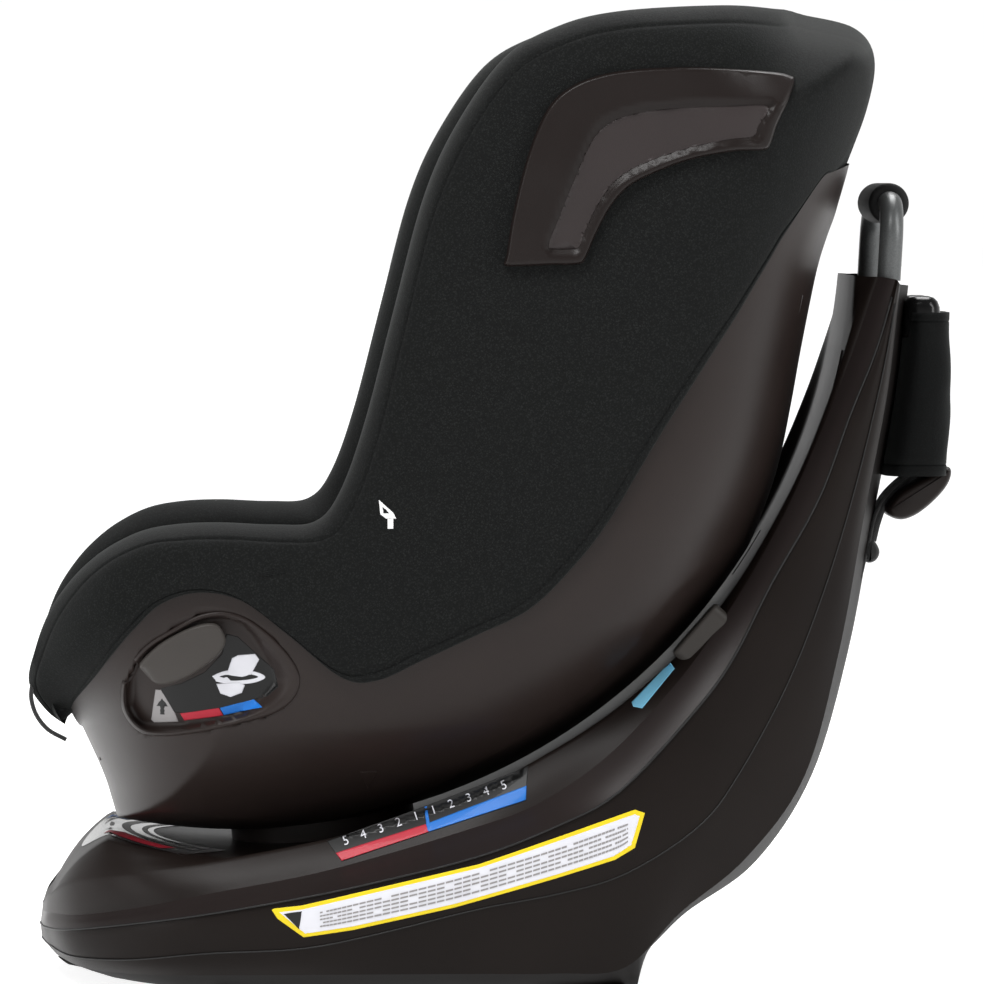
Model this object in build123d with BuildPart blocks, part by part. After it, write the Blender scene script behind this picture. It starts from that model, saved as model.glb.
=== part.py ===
"""A rotating, reclining child car seat on a fixed base.

The front of the seat faces -X, +Z is up, and the origin is on the floor under the middle
of the bounding box.  The seat shell turns on a ring, the ring sits in a sled, and the sled
slides on curved rails in the base, so that the seat reclines about a point near the child.
"""
from math import cos, radians, sin
import os

from build123d import *

os.makedirs("parts", exist_ok=True)

# ---------------------------------------------------------------- driving dimensions (mm)
RECLINE_X, RECLINE_Z = -175.2, 514.1      # centre that the curved rails run about
SEAT_RADIUS = 416.5                       # seat shell stays inside this sphere
HEAD_RADIUS = 452.0                       # the head end stays inside this cylinder
DECK_RADIUS = 420.0                       # concave face of the base
TURN_ANGLE = 7.9                          # turning axis, degrees behind straight down
RECLINE_STEP = 1.65                       # one recline position, degrees
SEAT_HALF_WIDTH = 213.0
SEAT_FRONT = -319.0
FRONT_CORNER = 80.0                       # plan radius of the seat's front corners
BUCKET_HALF_WIDTH = 150.0                 # child's space between the side walls
COVER_GAP = 6.0                           # padded fabric outside the plastic shell
SHELL_INSIDE = 11.0                       # inner face of the plastic shell
PAD_OUTSIDE = 11.5                        # padding starts just inside the shell
BASE_WALL = 4.0
BASE_HALF_WIDTH = 200.0
NECK_RADIUS = 64.0                        # turning ring that passes through the deck slot
SLED_HALF_WIDTH = 99.0
SLED_TOP, SLED_BOTTOM = 426.0, 448.0      # radii about the recline centre
HANDLE_TUBE = 16.3
WEBBING, WEBBING_THICKNESS = 38.0, 2.0
FIT = 0.4                                 # running clearance between moving pieces

TURN_AXIS = (-sin(radians(TURN_ANGLE)), 0, cos(radians(TURN_ANGLE)))
RING_FOOT = 417.0                         # distance from recline centre to the ring face

# Side outline of the whole seat, from the top of the wing clockwise to the thigh bolster.
HEAD_TOP = [(6, 633), (50, 658), (135, 670), (214, 663), (249, 653), (262, 632), (258, 600)]
SHELL_BACK = [(243, 558), (229, 515), (212, 435), (194, 360), (143, 241), (74, 180), (26, 146)]
SHELL_UNDER = [(-74, 113), (-151, 98), (-215, 92), (-250, 104), (-264, 128), (-280, 172)]
BOLSTER = [(-295, 172), (-319, 203), (-313, 230), (-294, 271), (-263, 299), (-215, 314), (-108, 314)]
WING_FRONT = [(-88, 383), (-68, 460), (-48, 536), (-26, 586)]
SEAT_OUTLINE = HEAD_TOP + SHELL_BACK + SHELL_UNDER + BOLSTER + WING_FRONT

# Lower edge of the fabric, from the back of the head round to the front of the thigh bolster.
HEM = [(236, 566), (209, 521), (161, 446), (109, 367), (72, 306), (52, 280), (23, 253), (-31, 229),
       (-79, 207), (-91, 205), (-105, 210), (-140, 238), (-163, 256), (-184, 266), (-202, 268),
       (-224, 262), (-241, 249), (-261, 227), (-276, 205), (-290, 186)]

# Front view of the seat: height against half width.
SEAT_WIDTHS = [(85, 138), (120, 155), (180, 186), (250, 206), (320, 213), (560, 213), (640, 205), (680, 188)]

# Base: side outline below the deck, plan and rear view.
BASE_UNDER = [(-311, 46), (-303, 28), (-289, 14), (-275, 7), (-254, 3), (83, 3), (98, 12), (111, 32),
              (138, 46), (180, 78), (212, 127), (231, 193), (250, 277), (265, 358), (278, 435), (282, 470),
              (280, 484), (259, 484)]
BASE_PLAN = [(-312, 0), (-308, 60), (-290, 118), (-250, 162), (-190, 191), (-110, 200), (0, 197), (90, 181),
             (180, 150), (240, 126), (286, 106), (286, 0)]
BASE_REAR = [(0, 186), (30, 200), (90, 200), (150, 178), (250, 143), (350, 119), (490, 94)]
CREASE = [(-330, 37), (-268, 36), (-198, 45), (-132, 56), (-9, 84), (44, 105), (88, 128), (138, 182), (166, 220),
          (193, 273), (225, 330), (248, 389), (266, 434), (284, 484)]


def around(radius, angle):
    """Side-view point at a radius from the recline centre, degrees behind straight down."""
    turn = radians(angle)
    return (RECLINE_X + radius * sin(turn), RECLINE_Z - radius * cos(turn))


def band(inner, outer, start, end):
    """Closed arc-shaped wire between two radii about the recline centre."""
    middle = (start + end) / 2
    ThreePointArc(around(inner, start), around(inner, middle), around(inner, end))
    Line(around(inner, end), around(outer, end))
    ThreePointArc(around(outer, end), around(outer, middle), around(outer, start))
    Line(around(outer, start), around(inner, start))


def arc_bar(inner, outer, start, end, y_low, y_high):
    """Bar with an arc-shaped side view, between two widths."""
    with BuildPart() as bar:
        with BuildSketch(Plane.XZ.offset(-y_high)):
            with BuildLine():
                band(inner, outer, start, end)
            make_face()
        extrude(amount=y_high - y_low)
    return bar.part


def side_prism(points, y_low, y_high):
    """Straight-sided side-view outline between two widths."""
    with BuildPart() as prism:
        with BuildSketch(Plane.XZ.offset(-y_high)):
            with BuildLine():
                Polyline(*points, close=True)
            make_face()
        extrude(amount=y_high - y_low)
    return prism.part


def mirrored(solid):
    """The same piece on the other side of the middle plane."""
    return mirror(solid, about=Plane.XZ)


def save(solid, name):
    """Label a finished piece and write it."""
    solid.label = name
    export_step(solid, f"parts/{name}.step")


RING_X, RING_Z = around(RING_FOOT, TURN_ANGLE)
ACROSS = (cos(radians(TURN_ANGLE)), 0, sin(radians(TURN_ANGLE)))
TURN = Plane(origin=(RING_X, 0, RING_Z), x_dir=ACROSS, z_dir=TURN_AXIS)
TURN_SECTION = Plane(origin=(RING_X, 0, RING_Z), x_dir=ACROSS, z_dir=(0, -1, 0))
BACK_UP = (0.392, 0, 0.920)
BACK = Plane(origin=(15, 0, 258), x_dir=(0, -1, 0), z_dir=(-BACK_UP[2], 0, BACK_UP[0]))


# ---------------------------------------------------------------- envelopes
def turning_space(inset):
    """Sphere below and cylinder above, that the seat turns inside."""
    with BuildPart() as space:
        with BuildSketch(TURN_SECTION):
            with BuildLine():
                bottom = RING_FOOT - SEAT_RADIUS + inset
                low = SEAT_RADIUS - inset
                half = low * sin(radians(45))
                Line((0, 300 + RING_FOOT), (0, bottom))
                ThreePointArc((0, bottom), (half, RING_FOOT - half), (low, RING_FOOT))
                Polyline((low, RING_FOOT), (HEAD_RADIUS - inset, RING_FOOT),
                         (HEAD_RADIUS - inset, 300 + RING_FOOT), (0, 300 + RING_FOOT))
            make_face()
        revolve(axis=Axis(TURN.origin, TURN_AXIS))
    return space.part


def seat_envelope(inset):
    """The seat's outside, moved inwards by a distance."""
    with BuildPart() as body:
        with BuildSketch(Plane.XZ):
            with BuildLine():
                Polyline(*SEAT_OUTLINE, close=True)
            make_face()
            if inset:
                offset(amount=-inset, mode=Mode.REPLACE)
        extrude(amount=SEAT_HALF_WIDTH, both=True)
        with BuildSketch(Plane.YZ):
            with BuildLine():
                right = [(width - inset, height) for height, width in SEAT_WIDTHS]
                left = [(-y, z) for y, z in reversed(right)]
                Polyline(*right, *left, close=True)
            make_face()
        extrude(amount=350, both=True, mode=Mode.INTERSECT)
        with BuildSketch(Plane.XY) as plan:
            with Locations((SEAT_FRONT + inset, 0)):
                Rectangle(700, 2 * (SEAT_HALF_WIDTH - inset), align=(Align.MIN, Align.CENTER))
            fillet(plan.vertices().group_by(Axis.X)[0], FRONT_CORNER)
        extrude(amount=700, mode=Mode.INTERSECT)
        add(turning_space(inset), mode=Mode.INTERSECT)
    return body.part


def rib_slope(shift):
    """Space above one outward-sloping rib face, lofted along the rails; a shift moves the face inwards."""
    sections = []
    for angle, apex, edge_radius, edge in RIB_SECTIONS:
        turn = radians(angle)
        plane = Plane(origin=(RECLINE_X, 0, RECLINE_Z), x_dir=(sin(turn), 0, -cos(turn)),
                      z_dir=(cos(turn), 0, sin(turn)))
        with BuildSketch(plane) as section:
            with BuildLine():
                Polyline((DECK_RADIUS - 0.5, apex - 1 - shift), (edge_radius + shift, edge - shift),
                         (edge_radius + shift, 260), (DECK_RADIUS - 0.5, 260), close=True)
            make_face()
        sections.append(section.sketch)
    with BuildPart() as slope:
        loft(sections, ruled=True)
    return slope.part


def base_block(inset):
    """The base's outside without the sloping rib faces, moved inwards by a distance."""
    with BuildPart() as block:
        with BuildSketch(Plane.XZ):
            with BuildLine():
                Polyline(*DECK_FRONT, *BASE_UNDER, around(*SPINE_LIP))
                ThreePointArc(around(*SPINE_LIP), around(424, 73), around(DECK_RADIUS, 62))
                ThreePointArc(around(DECK_RADIUS, 62), around(DECK_RADIUS, 26), DECK_FRONT[0])
            make_face()
            if inset:
                offset(amount=-inset, mode=Mode.REPLACE)
        extrude(amount=BASE_HALF_WIDTH + 5, both=True)
        with BuildSketch(Plane.XY):
            with BuildLine():
                Polyline(*BASE_PLAN, *[(x, -y) for x, y in reversed(BASE_PLAN[1:-1])], close=True)
            make_face()
            if inset:
                offset(amount=-inset, mode=Mode.REPLACE)
        extrude(amount=600, mode=Mode.INTERSECT)
        with BuildSketch(Plane.YZ):
            with BuildLine():
                right = [(width - inset, height) for height, width in BASE_REAR]
                left = [(-y, z) for y, z in reversed(right)]
                Polyline(*right, *left, close=True)
            make_face()
        extrude(amount=350, both=True, mode=Mode.INTERSECT)
    return block.part


# ---------------------------------------------------------------- base
DECK_FRONT = [around(DECK_RADIUS, -10), (-262, 96), (-276, 89), (-290, 77), (-303, 64), (-309, 56)]
SPINE_LIP = (430, 83)
# Degrees behind straight down, half width of the rib's crest, radius and half width of its outer edge.
RIB_SECTIONS = [(-25, 120, 462, 190), (-3, 150, 456, 186), (12, 150, 442, 188), (27, 146, 446, 172),
                (40, 126, 438, 152), (55, 106, 427, 130), (73, 92, 426, 106), (92, 84, 442, 92)]
SLOT_START, SLOT_END = -3.6, 31.0
PANEL_START, PANEL_END, PANEL_HALF_WIDTH = 47.0, 79.0, 58.0
SPLIT_X = 138.0                           # the spine's back cover starts behind this

block = base_block(0)
slope_right = rib_slope(0)
inner_slope = rib_slope(BASE_WALL)
hollow = base_block(BASE_WALL) - inner_slope - mirrored(inner_slope)
base_skin = block - slope_right - mirrored(slope_right) - hollow
base_skin -= arc_bar(DECK_RADIUS - 20, 427, SLOT_START, SLOT_END, -NECK_RADIUS - 3, NECK_RADIUS + 3)
panel_hole = arc_bar(DECK_RADIUS - 20, 432, PANEL_START, PANEL_END, -PANEL_HALF_WIDTH, PANEL_HALF_WIDTH)
below_crease = side_prism(CREASE + [(400, 484), (400, -20), (-330, -20)], -260, 260)
behind_split = side_prism([(SPLIT_X, -20), (400, -20), (400, 484), (SPLIT_X, 484)], -260, 260)
lower_skin = base_skin & below_crease

GUIDE_ANGLE = 48.8
GUIDE_PLANE_POINT = around(417, GUIDE_ANGLE)
guide_turn = radians(GUIDE_ANGLE)
GUIDE_ALONG = (cos(guide_turn), 0, sin(guide_turn))
GUIDE_UP = (-sin(guide_turn), 0, cos(guide_turn))
guide_origin = (GUIDE_PLANE_POINT[0], 128, GUIDE_PLANE_POINT[1])
guide_plane = Plane(origin=guide_origin, x_dir=GUIDE_ALONG, z_dir=GUIDE_UP)
GUIDE_LENGTH, GUIDE_WIDTH, GUIDE_DEPTH = 45.0, 18.0, 17.0
with BuildPart() as guide:
    with BuildSketch(guide_plane.offset(-GUIDE_DEPTH / 2)):
        RectangleRounded(GUIDE_LENGTH, GUIDE_WIDTH, 7)
    extrude(amount=GUIDE_DEPTH)
    fillet(guide.faces().sort_by(Axis(guide_plane.origin, GUIDE_UP))[-1].edges(), 2.5)
with BuildPart() as guide_pocket:
    with BuildSketch(guide_plane.offset(-GUIDE_DEPTH / 2 - 1)):
        with Locations((0, 1.5)):
            Rectangle(GUIDE_LENGTH + 2, GUIDE_WIDTH + 10)
    extrude(amount=GUIDE_DEPTH + 20)
upper_cover = base_skin - below_crease - panel_hole - guide_pocket.part - mirrored(guide_pocket.part)

FRONT_BELT_SLOT = (55.0, 60.0)
with BuildPart() as spine_panel:
    add(arc_bar(DECK_RADIUS + 2, DECK_RADIUS + 5, PANEL_START + 0.2, PANEL_END - 0.2,
                -PANEL_HALF_WIDTH + 0.5, PANEL_HALF_WIDTH - 0.5))
    add(arc_bar(DECK_RADIUS, DECK_RADIUS + 8, *FRONT_BELT_SLOT, -42, 42), mode=Mode.SUBTRACT)

with BuildPart() as feet:
    for foot_x in (-163, 52):
        for side in (-1, 1):
            with BuildSketch(Plane.XY):
                with Locations((foot_x, side * 95)):
                    RectangleRounded(66, 120, 10)
            extrude(amount=3)

# Carry handle: a bent steel tube with a soft grip.
HANDLE_Y, HANDLE_X, HANDLE_TOP, HANDLE_FOOT = 76.0, 269.6, 533.0, 480.4
with BuildPart() as handle_tube:
    with BuildLine():
        FilletPolyline((HANDLE_X, -HANDLE_Y, HANDLE_FOOT), (HANDLE_X + 3, -HANDLE_Y, HANDLE_TOP),
                       (HANDLE_X + 3, HANDLE_Y, HANDLE_TOP), (HANDLE_X, HANDLE_Y, HANDLE_FOOT), radius=26)
    foot = Plane(origin=(HANDLE_X, -HANDLE_Y, HANDLE_FOOT), z_dir=(3, 0, HANDLE_TOP - HANDLE_FOOT))
    with BuildSketch(foot):
        Circle(HANDLE_TUBE / 2)
    sweep()
with BuildPart() as handle_grip:
    with BuildSketch(Plane.XZ.offset(-46)):
        with Locations((HANDLE_X + 3, HANDLE_TOP)):
            Circle(14)
            Circle(HANDLE_TUBE / 2, mode=Mode.SUBTRACT)
    extrude(amount=92)
    fillet(handle_grip.edges().filter_by(GeomType.CIRCLE).sort_by(SortBy.RADIUS)[-2:], 4)
upper_cover -= handle_tube.part

# Curved rails: channels that hold the sled's glide blocks.
rail = arc_bar(424.2, 451, -8.6, 37, 108, 120) - arc_bar(431, 443, -9, 38, 107, 114)
rack_teeth = [arc_bar(452, 456, angle, angle + 0.8, -16, 16) for angle in
              [16.2 + RECLINE_STEP * index for index in range(12)]]
rack = arc_bar(455, 461, 15, 36, -16, 16) + rack_teeth
rack += side_prism([(-24, 7), (-18, 7), (-18, 82), (-24, 80)], -16, 16)
rack += side_prism([(57, 7), (63, 7), (63, 120), (57, 117)], -16, 16)


def side_view_patch(layer, points):
    """The part of a thin layer on the +Y side that lies under a side-view outline."""
    return layer & side_prism(points, 60, 260)


slope_layer = (slope_right - rib_slope(-0.8)) & base_block(0)
wall_layer = base_block(-0.8) - block
scale = side_view_patch(slope_layer, [(-112, 96), (22, 147), (22, 126), (-104, 86)])
tag = side_view_patch(slope_layer, [(124, 220), (130, 214), (104, 184), (97, 190)])
side_label = side_view_patch(wall_layer, [(-152, 46), (-132, 50), (-9, 78), (96, 111), (104, 110), (100, 90),
                                          (85, 80), (44, 68), (-26, 50), (-96, 34), (-130, 30)])
side_label -= below_crease - side_prism([(-200, -20), (200, -20), (200, 130), (-200, 130)], 0, 260)
deck_label = wall_layer & side_prism([(-296, 60), (-296, 120), (-210, 120), (-210, 60)], -105, 105)

SCREWS = [(-220, 80), (-220, -80), (-60, 130), (-60, -130), (-60, 45), (-60, -45)]
with BuildPart() as screws:
    with Locations(*[(x, y, 2.6) for x, y in SCREWS]):
        Cylinder(4, 4.4, align=(Align.CENTER, Align.CENTER, Align.MIN))
lower_shell = (lower_skin - behind_split) - screws.part

# Anchor connectors stored behind the spine in a cloth sleeve.
SLEEVE_X, SLEEVE_LOW, SLEEVE_HIGH = (285.0, 319.0), 344.0, 457.0
with BuildPart() as sleeve:
    with BuildSketch(Plane.XY.offset(SLEEVE_LOW)):
        with Locations((sum(SLEEVE_X) / 2, 0)):
            RectangleRounded(SLEEVE_X[1] - SLEEVE_X[0], 84, 12)
            RectangleRounded(SLEEVE_X[1] - SLEEVE_X[0] - 5, 79, 9.5, mode=Mode.SUBTRACT)
    extrude(amount=SLEEVE_HIGH - SLEEVE_LOW)
with BuildPart() as connectors:
    for side in (-1, 1):
        with BuildSketch(Plane.XY.offset(366)):
            with Locations((302, side * 19)):
                RectangleRounded(24, 32, 5)
        extrude(amount=102)
    fillet(connectors.faces().group_by(Axis.Z)[-1].edges(), 4)
with BuildPart() as adjuster:
    with BuildSketch(Plane.XZ.offset(-24)):
        with BuildLine():
            Polyline((274, 318), (290, 313), (310, 324), (319.4, 340), (317, 343.5), (296, 343.5), (276, 334),
                     close=True)
        make_face()
    extrude(amount=48)
with BuildPart() as anchor_strap:
    with BuildSketch(Plane.XZ.offset(-12.5)):
        with BuildLine():
            Polyline((288, 311), (275, 299), (269, 283), (266, 262), (262, 246))
        trace(line_width=2.5)
    extrude(amount=25)
in_front_of_spine = side_prism([(0, 0), (240, 0), (240, 400), (0, 400)], -50, 50)
strap_piece = anchor_strap.part - adjuster.part - (block + in_front_of_spine)

save(lower_shell, "base_lower_shell")
save(upper_cover, "base_upper_cover")
save(lower_skin & behind_split, "spine_back_cover")
save(spine_panel.part, "spine_front_panel")
save(feet.part, "base_feet")
save(handle_tube.part, "handle_tube")
save(handle_grip.part, "handle_grip")
save(Compound([rail, mirrored(rail)]), "recline_rails")
save(rack, "recline_lock_rack")
save(Compound([scale, mirrored(scale)]), "position_scales")
save(Compound([tag, mirrored(tag)]), "belt_path_tags")
save(Compound([side_label, mirrored(side_label)]), "side_labels")
save(deck_label, "deck_label")
save(screws.part, "base_screws")
save(sleeve.part, "anchor_sleeve")
save(connectors.part, "anchor_connectors")
save(adjuster.part, "anchor_adjuster")
save(strap_piece, "anchor_strap")
save(guide.part, "belt_guide_right")
save(mirrored(guide.part), "belt_guide_left")


# ---------------------------------------------------------------- sled
SLED_SPAN = 14.0                          # half length of the sled, degrees
FLANGE_RADIUS, FLANGE_TOP, FLANGE_FOOT = 72.0, -13.0, -20.0


def turn_ring(outer, inner, foot, top):
    """Ring about the turning axis, between two heights along it."""
    with BuildPart() as ring:
        with BuildSketch(TURN.offset(foot)):
            Circle(outer)
            if inner:
                Circle(inner, mode=Mode.SUBTRACT)
        extrude(amount=top - foot)
    return ring.part


sled_start, sled_end = TURN_ANGLE - SLED_SPAN, TURN_ANGLE + SLED_SPAN
sled = arc_bar(SLED_TOP, SLED_BOTTOM, sled_start, sled_end, -SLED_HALF_WIDTH, SLED_HALF_WIDTH)
sled -= turn_ring(NECK_RADIUS + FIT, 0, -60, 30)
sled -= turn_ring(FLANGE_RADIUS + 1, 0, -60, FLANGE_TOP + FIT)
GLIDE_INNER, GLIDE_OUTER, GLIDE_WIDTH, GLIDE_ANGLE = 431.6, 442.4, 13.2, 6.0
glides = []
for start in (sled_start + 0.5, sled_end - GLIDE_ANGLE - 0.5):
    for low in (-SLED_HALF_WIDTH - GLIDE_WIDTH, SLED_HALF_WIDTH):
        glides.append(arc_bar(GLIDE_INNER, GLIDE_OUTER, start, start + GLIDE_ANGLE, low, low + GLIDE_WIDTH))
bearing = turn_ring(FLANGE_RADIUS, 55, -23, FLANGE_FOOT - FIT)
lock_plate = turn_ring(FLANGE_RADIUS, 0, -26.5, -23) + turn_ring(50, 0, -23, -8)
with BuildPart() as lock_holes:
    with BuildSketch(TURN.offset(-14)):
        Circle(47)
        Circle(33, mode=Mode.SUBTRACT)
    extrude(amount=10)
lock_plate -= lock_holes.part
PAWL_START, PAWL_END = 18.2, 20.6
pawl = arc_bar(442, 451.4, PAWL_START, PAWL_END, -14, 14)
sled -= arc_bar(434, 455, PAWL_START - 0.2, PAWL_END + 0.2, -15, 15)

save(sled, "sled_frame")
save(Compound(glides), "glide_blocks")
save(bearing, "bearing_ring")
save(lock_plate, "turn_lock_plate")
save(pawl, "recline_pawl")


# ---------------------------------------------------------------- seat
BUCKET = [(15, 258), (200, 692), (-420, 692), (-420, 240), (-300, 262), (-230, 285)]
HEM_CLOSED = HEM + [(-330, 186), (-330, 700), (300, 700), (300, 566)]
POD = [(8, 494), (19, 551), (39, 602), (54, 615), (76, 623), (146, 628), (207, 623), (210, 618), (196, 589),
       (190, 572), (135, 564), (93, 545), (71, 512), (63, 495), (39, 493)]
BEZEL = [(-254, 204), (-255, 186), (-241, 167), (-228, 166), (-205, 170), (-153, 183), (-139, 192), (-134, 205),
         (-148, 231), (-163, 244), (-187, 252), (-202, 249), (-235, 231), (-246, 219)]
BUTTON = [(-244, 214), (-241, 222), (-228, 234), (-211, 243), (-194, 247), (-185, 241), (-187, 225), (-200, 213),
          (-214, 204), (-227, 201), (-235, 204)]
EVERYWHERE = [(-400, -50), (400, -50), (400, 750), (-400, 750)]


def grown(points, amount):
    """Outline moved outwards by a distance, extruded through the +Y side."""
    with BuildPart() as prism:
        with BuildSketch(Plane.XZ.offset(-260)):
            with BuildLine():
                Polyline(*points, close=True)
            make_face()
            if amount:
                offset(amount=amount, mode=Mode.REPLACE)
        extrude(amount=260 - BUCKET_HALF_WIDTH)
    return prism.part


def on_back(y, z):
    """Side-view point a distance up the backrest and in front of it."""
    return (15 + BACK_UP[0] * y - BACK_UP[2] * z, 258 + BACK_UP[2] * y + BACK_UP[0] * z)


outside = seat_envelope(0)
shell_outside = seat_envelope(COVER_GAP)
padding = seat_envelope(PAD_OUTSIDE)
right_side = side_prism(EVERYWHERE, BUCKET_HALF_WIDTH, 260)
middle = side_prism(EVERYWHERE, -BUCKET_HALF_WIDTH, BUCKET_HALF_WIDTH)
bucket = side_prism(BUCKET, -BUCKET_HALF_WIDTH, BUCKET_HALF_WIDTH)
MOUTH = [(225, 700), (225, 640), (40, 240), (-262, 240), (-262, 168), (-340, 168), (-340, 700)]
mouth = side_prism(MOUTH, -185, 185)
above_hem = side_prism(HEM_CLOSED, -260, 260)

pod_hole = grown(POD, 0)
bezel_hole = grown(BEZEL, 0)
button_hole = grown(BUTTON, 1)
bezel_layer = (seat_envelope(2) - shell_outside) & right_side
bezel = (bezel_layer & bezel_hole) - button_hole
button = (seat_envelope(0.5) - seat_envelope(16)) & grown(BUTTON, 0)
button_space = (outside - seat_envelope(26)) & button_hole

HANDLE_POCKET = [(-300, 136), (-236, 136), (-236, 166), (-300, 166)]
RECLINE_HANDLE = [(-273, 150), (-271, 158), (-244, 162), (-240, 158), (-240, 150), (-244, 147)]
recline_handle = side_prism(RECLINE_HANDLE, -54, 54)
recline_handle = recline_handle & outside
handle_pocket = side_prism(HANDLE_POCKET, -58, 58)

shell = shell_outside - seat_envelope(SHELL_INSIDE) - mouth - button_space - mirrored(button_space)
shell -= handle_pocket
shell -= turn_ring(NECK_RADIUS, 0, -20, 40)
cover_skin = outside - shell_outside
side_cover = (cover_skin & right_side & above_hem) - pod_hole - bezel_hole
in_front_of_back = side_prism([(-340, 0), (-340, 560), (150, 600), (150, 0)], -160, 160)
head_cover = ((cover_skin & middle) & above_hem) - bucket - in_front_of_back
head_cover = head_cover.solids().sort_by(SortBy.VOLUME)[-1]
pod = (outside - shell_outside) & pod_hole

wing_pad = (padding & right_side) - button_space
thigh_bolster = wing_pad & side_prism([(-340, 0), (-340, 314), (20, 314), (60, 180), (60, 0)], 0, 260)
wing_pad = wing_pad - side_prism([(-340, 0), (-340, 314), (20, 314), (60, 180), (60, 0)], 0, 260)
soft_core = padding & middle
back_cushion = soft_core & side_prism([(15, 258), (178, 640), (201, 630), (38, 248)], -160, 160)
SEAT_CUSHION = [(15, 258), (-230, 285), (-300, 262), (-330, 240), (-330, 172), (-284, 172), (-284, 225),
                (-230, 248), (38, 222), (38, 248)]
LINER = [(38, 248), (201, 630), (224, 620), (60, 236), (60, 197), (-230, 223), (-230, 248), (38, 222)]
seat_cushion = (outside & middle) & side_prism(SEAT_CUSHION, -160, 160)
liner = soft_core & side_prism(LINER, -160, 160)
frame_plate = side_prism([(-200, 122), (-30, 128), (60, 180), (135, 250), (180, 350), (212, 470), (192, 474),
                          (165, 375), (120, 278), (50, 190), (-40, 158), (-200, 148)], 108, 111)
with BuildPart() as frame_arm:
    with BuildSketch(TURN.offset(25)):
        Rectangle(50, 222)
    extrude(amount=7)
seat_frame = padding & (frame_plate + mirrored(frame_plate) + turn_ring(88, 30, 22, 25) + frame_arm.part)
ring = turn_ring(NECK_RADIUS, 52, FLANGE_FOOT, 22) + turn_ring(FLANGE_RADIUS, 52, FLANGE_FOOT, FLANGE_TOP)
with BuildPart() as lock_pin:
    with BuildSketch(TURN.offset(-13)):
        with Locations((0, 40)):
            Circle(4.5)
    extrude(amount=33)
with BuildPart() as pin_hole:
    with BuildSketch(TURN.offset(-20)):
        with Locations((0, 40), (0, -40)):
            Circle(5)
    extrude(amount=60)
seat_frame -= pin_hole.part


# Headrest: slides up the backrest; its release lever is on top.
HEADREST_LOW, HEADREST_HIGH, HEADREST_HALF = 276.0, 398.0, 138.0


def back_block(x_low, x_high, y_low, y_high, z_low, z_high):
    """Block placed on the backrest: across, up and out of it."""
    with BuildPart() as piece:
        with BuildSketch(BACK.offset(z_low)):
            with Locations(((x_low + x_high) / 2, (y_low + y_high) / 2)):
                Rectangle(x_high - x_low, y_high - y_low)
        extrude(amount=z_high - z_low)
    return piece.part


headrest = back_block(-HEADREST_HALF, HEADREST_HALF, HEADREST_LOW, HEADREST_HIGH, 0.6, 30)
for side in (-1, 1):
    near, far = sorted((side * 104, side * HEADREST_HALF))
    headrest += back_block(near, far, HEADREST_LOW, HEADREST_HIGH, 30, 92)
headrest_lever = back_block(-32, 32, HEADREST_HIGH + 0.5, HEADREST_HIGH + 12, 4, 24)

# Harness: two shoulder straps, two lap straps and a crotch strap meet in a buckle.
STRAP_X, STRAP_LIFT, STRAP_HIGH, STRAP_LOW = 38.0, 14.0, 244.0, 62.0
BUCKLE = Plane(origin=(-70, 0, 316), x_dir=(0, 1, 0), z_dir=(-0.87, 0, 0.5))
BUCKLE_SIZE, BUCKLE_DEPTH = (52.0, 62.0), 22.0


def strap_run(points, y_centre, width):
    """Flat webbing that follows a side-view path."""
    with BuildPart() as run:
        with BuildSketch(Plane.XZ.offset(-(y_centre + width / 2))):
            with BuildLine():
                Polyline(*points)
            trace(line_width=WEBBING_THICKNESS)
        extrude(amount=width)
    return run.part


shoulder_path = [on_back(262, 1.6), on_back(STRAP_HIGH, STRAP_LIFT), on_back(STRAP_LOW, STRAP_LIFT),
                 (-38, 336), (-49, 341)]
shoulder = strap_run(shoulder_path, STRAP_X - 12, WEBBING)
crotch = strap_run([(-98, 283), (-91, 292)], 0, WEBBING)
with BuildPart() as lap:
    with BuildSketch(Plane(origin=(-56, 28, 311), x_dir=(-0.2, 0, 0.98), z_dir=(56, 112, -40))):
        Rectangle(32, WEBBING_THICKNESS)
    extrude(amount=128)
with BuildPart() as buckle:
    with BuildSketch(BUCKLE.offset(-BUCKLE_DEPTH / 2)):
        RectangleRounded(*BUCKLE_SIZE, 9)
    extrude(amount=BUCKLE_DEPTH)
    fillet(buckle.faces().sort_by(Axis(BUCKLE.origin, (-0.87, 0, 0.5)))[-1].edges(), 3)
    with BuildSketch(BUCKLE.offset(BUCKLE_DEPTH / 2 - 8)):
        with Locations((0, 6)):
            RectangleRounded(28, 24, 5)
    extrude(amount=20, mode=Mode.SUBTRACT)
with BuildPart() as buckle_button:
    with BuildSketch(BUCKLE.offset(BUCKLE_DEPTH / 2 - 4.5)):
        with Locations((0, 6)):
            RectangleRounded(27, 23, 4.5)
    extrude(amount=6)

CLIP_LOW, CLIP_HIGH, CLIP_HALF = 128.0, 162.0, 52.0
chest_clip = back_block(-CLIP_HALF, CLIP_HALF, CLIP_LOW, CLIP_HIGH, STRAP_LIFT - 5.5, STRAP_LIFT + 5.5)
pads = []
for side in (-1, 1):
    low, high = sorted((side * (STRAP_X - 12 - WEBBING / 2 - 0.6), side * (STRAP_X - 12 + WEBBING / 2 + 0.6)))
    chest_clip -= back_block(low, high, CLIP_LOW - 5, CLIP_HIGH + 5, STRAP_LIFT - 1.5, STRAP_LIFT + 1.5)
    pads.append(back_block(low - 4, high + 4, 192, 238, STRAP_LIFT - 6, STRAP_LIFT + 6)
                - back_block(low + 0.6, high - 0.6, 180, 250, STRAP_LIFT - 1, STRAP_LIFT + 1))
shoulder = shoulder - buckle.part - pads[1] - pads[0]
lap_strap = lap.part - buckle.part - seat_cushion
straps = Compound([shoulder, mirrored(shoulder), lap_strap, mirrored(lap_strap)])
crotch -= buckle.part + seat_cushion

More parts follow.
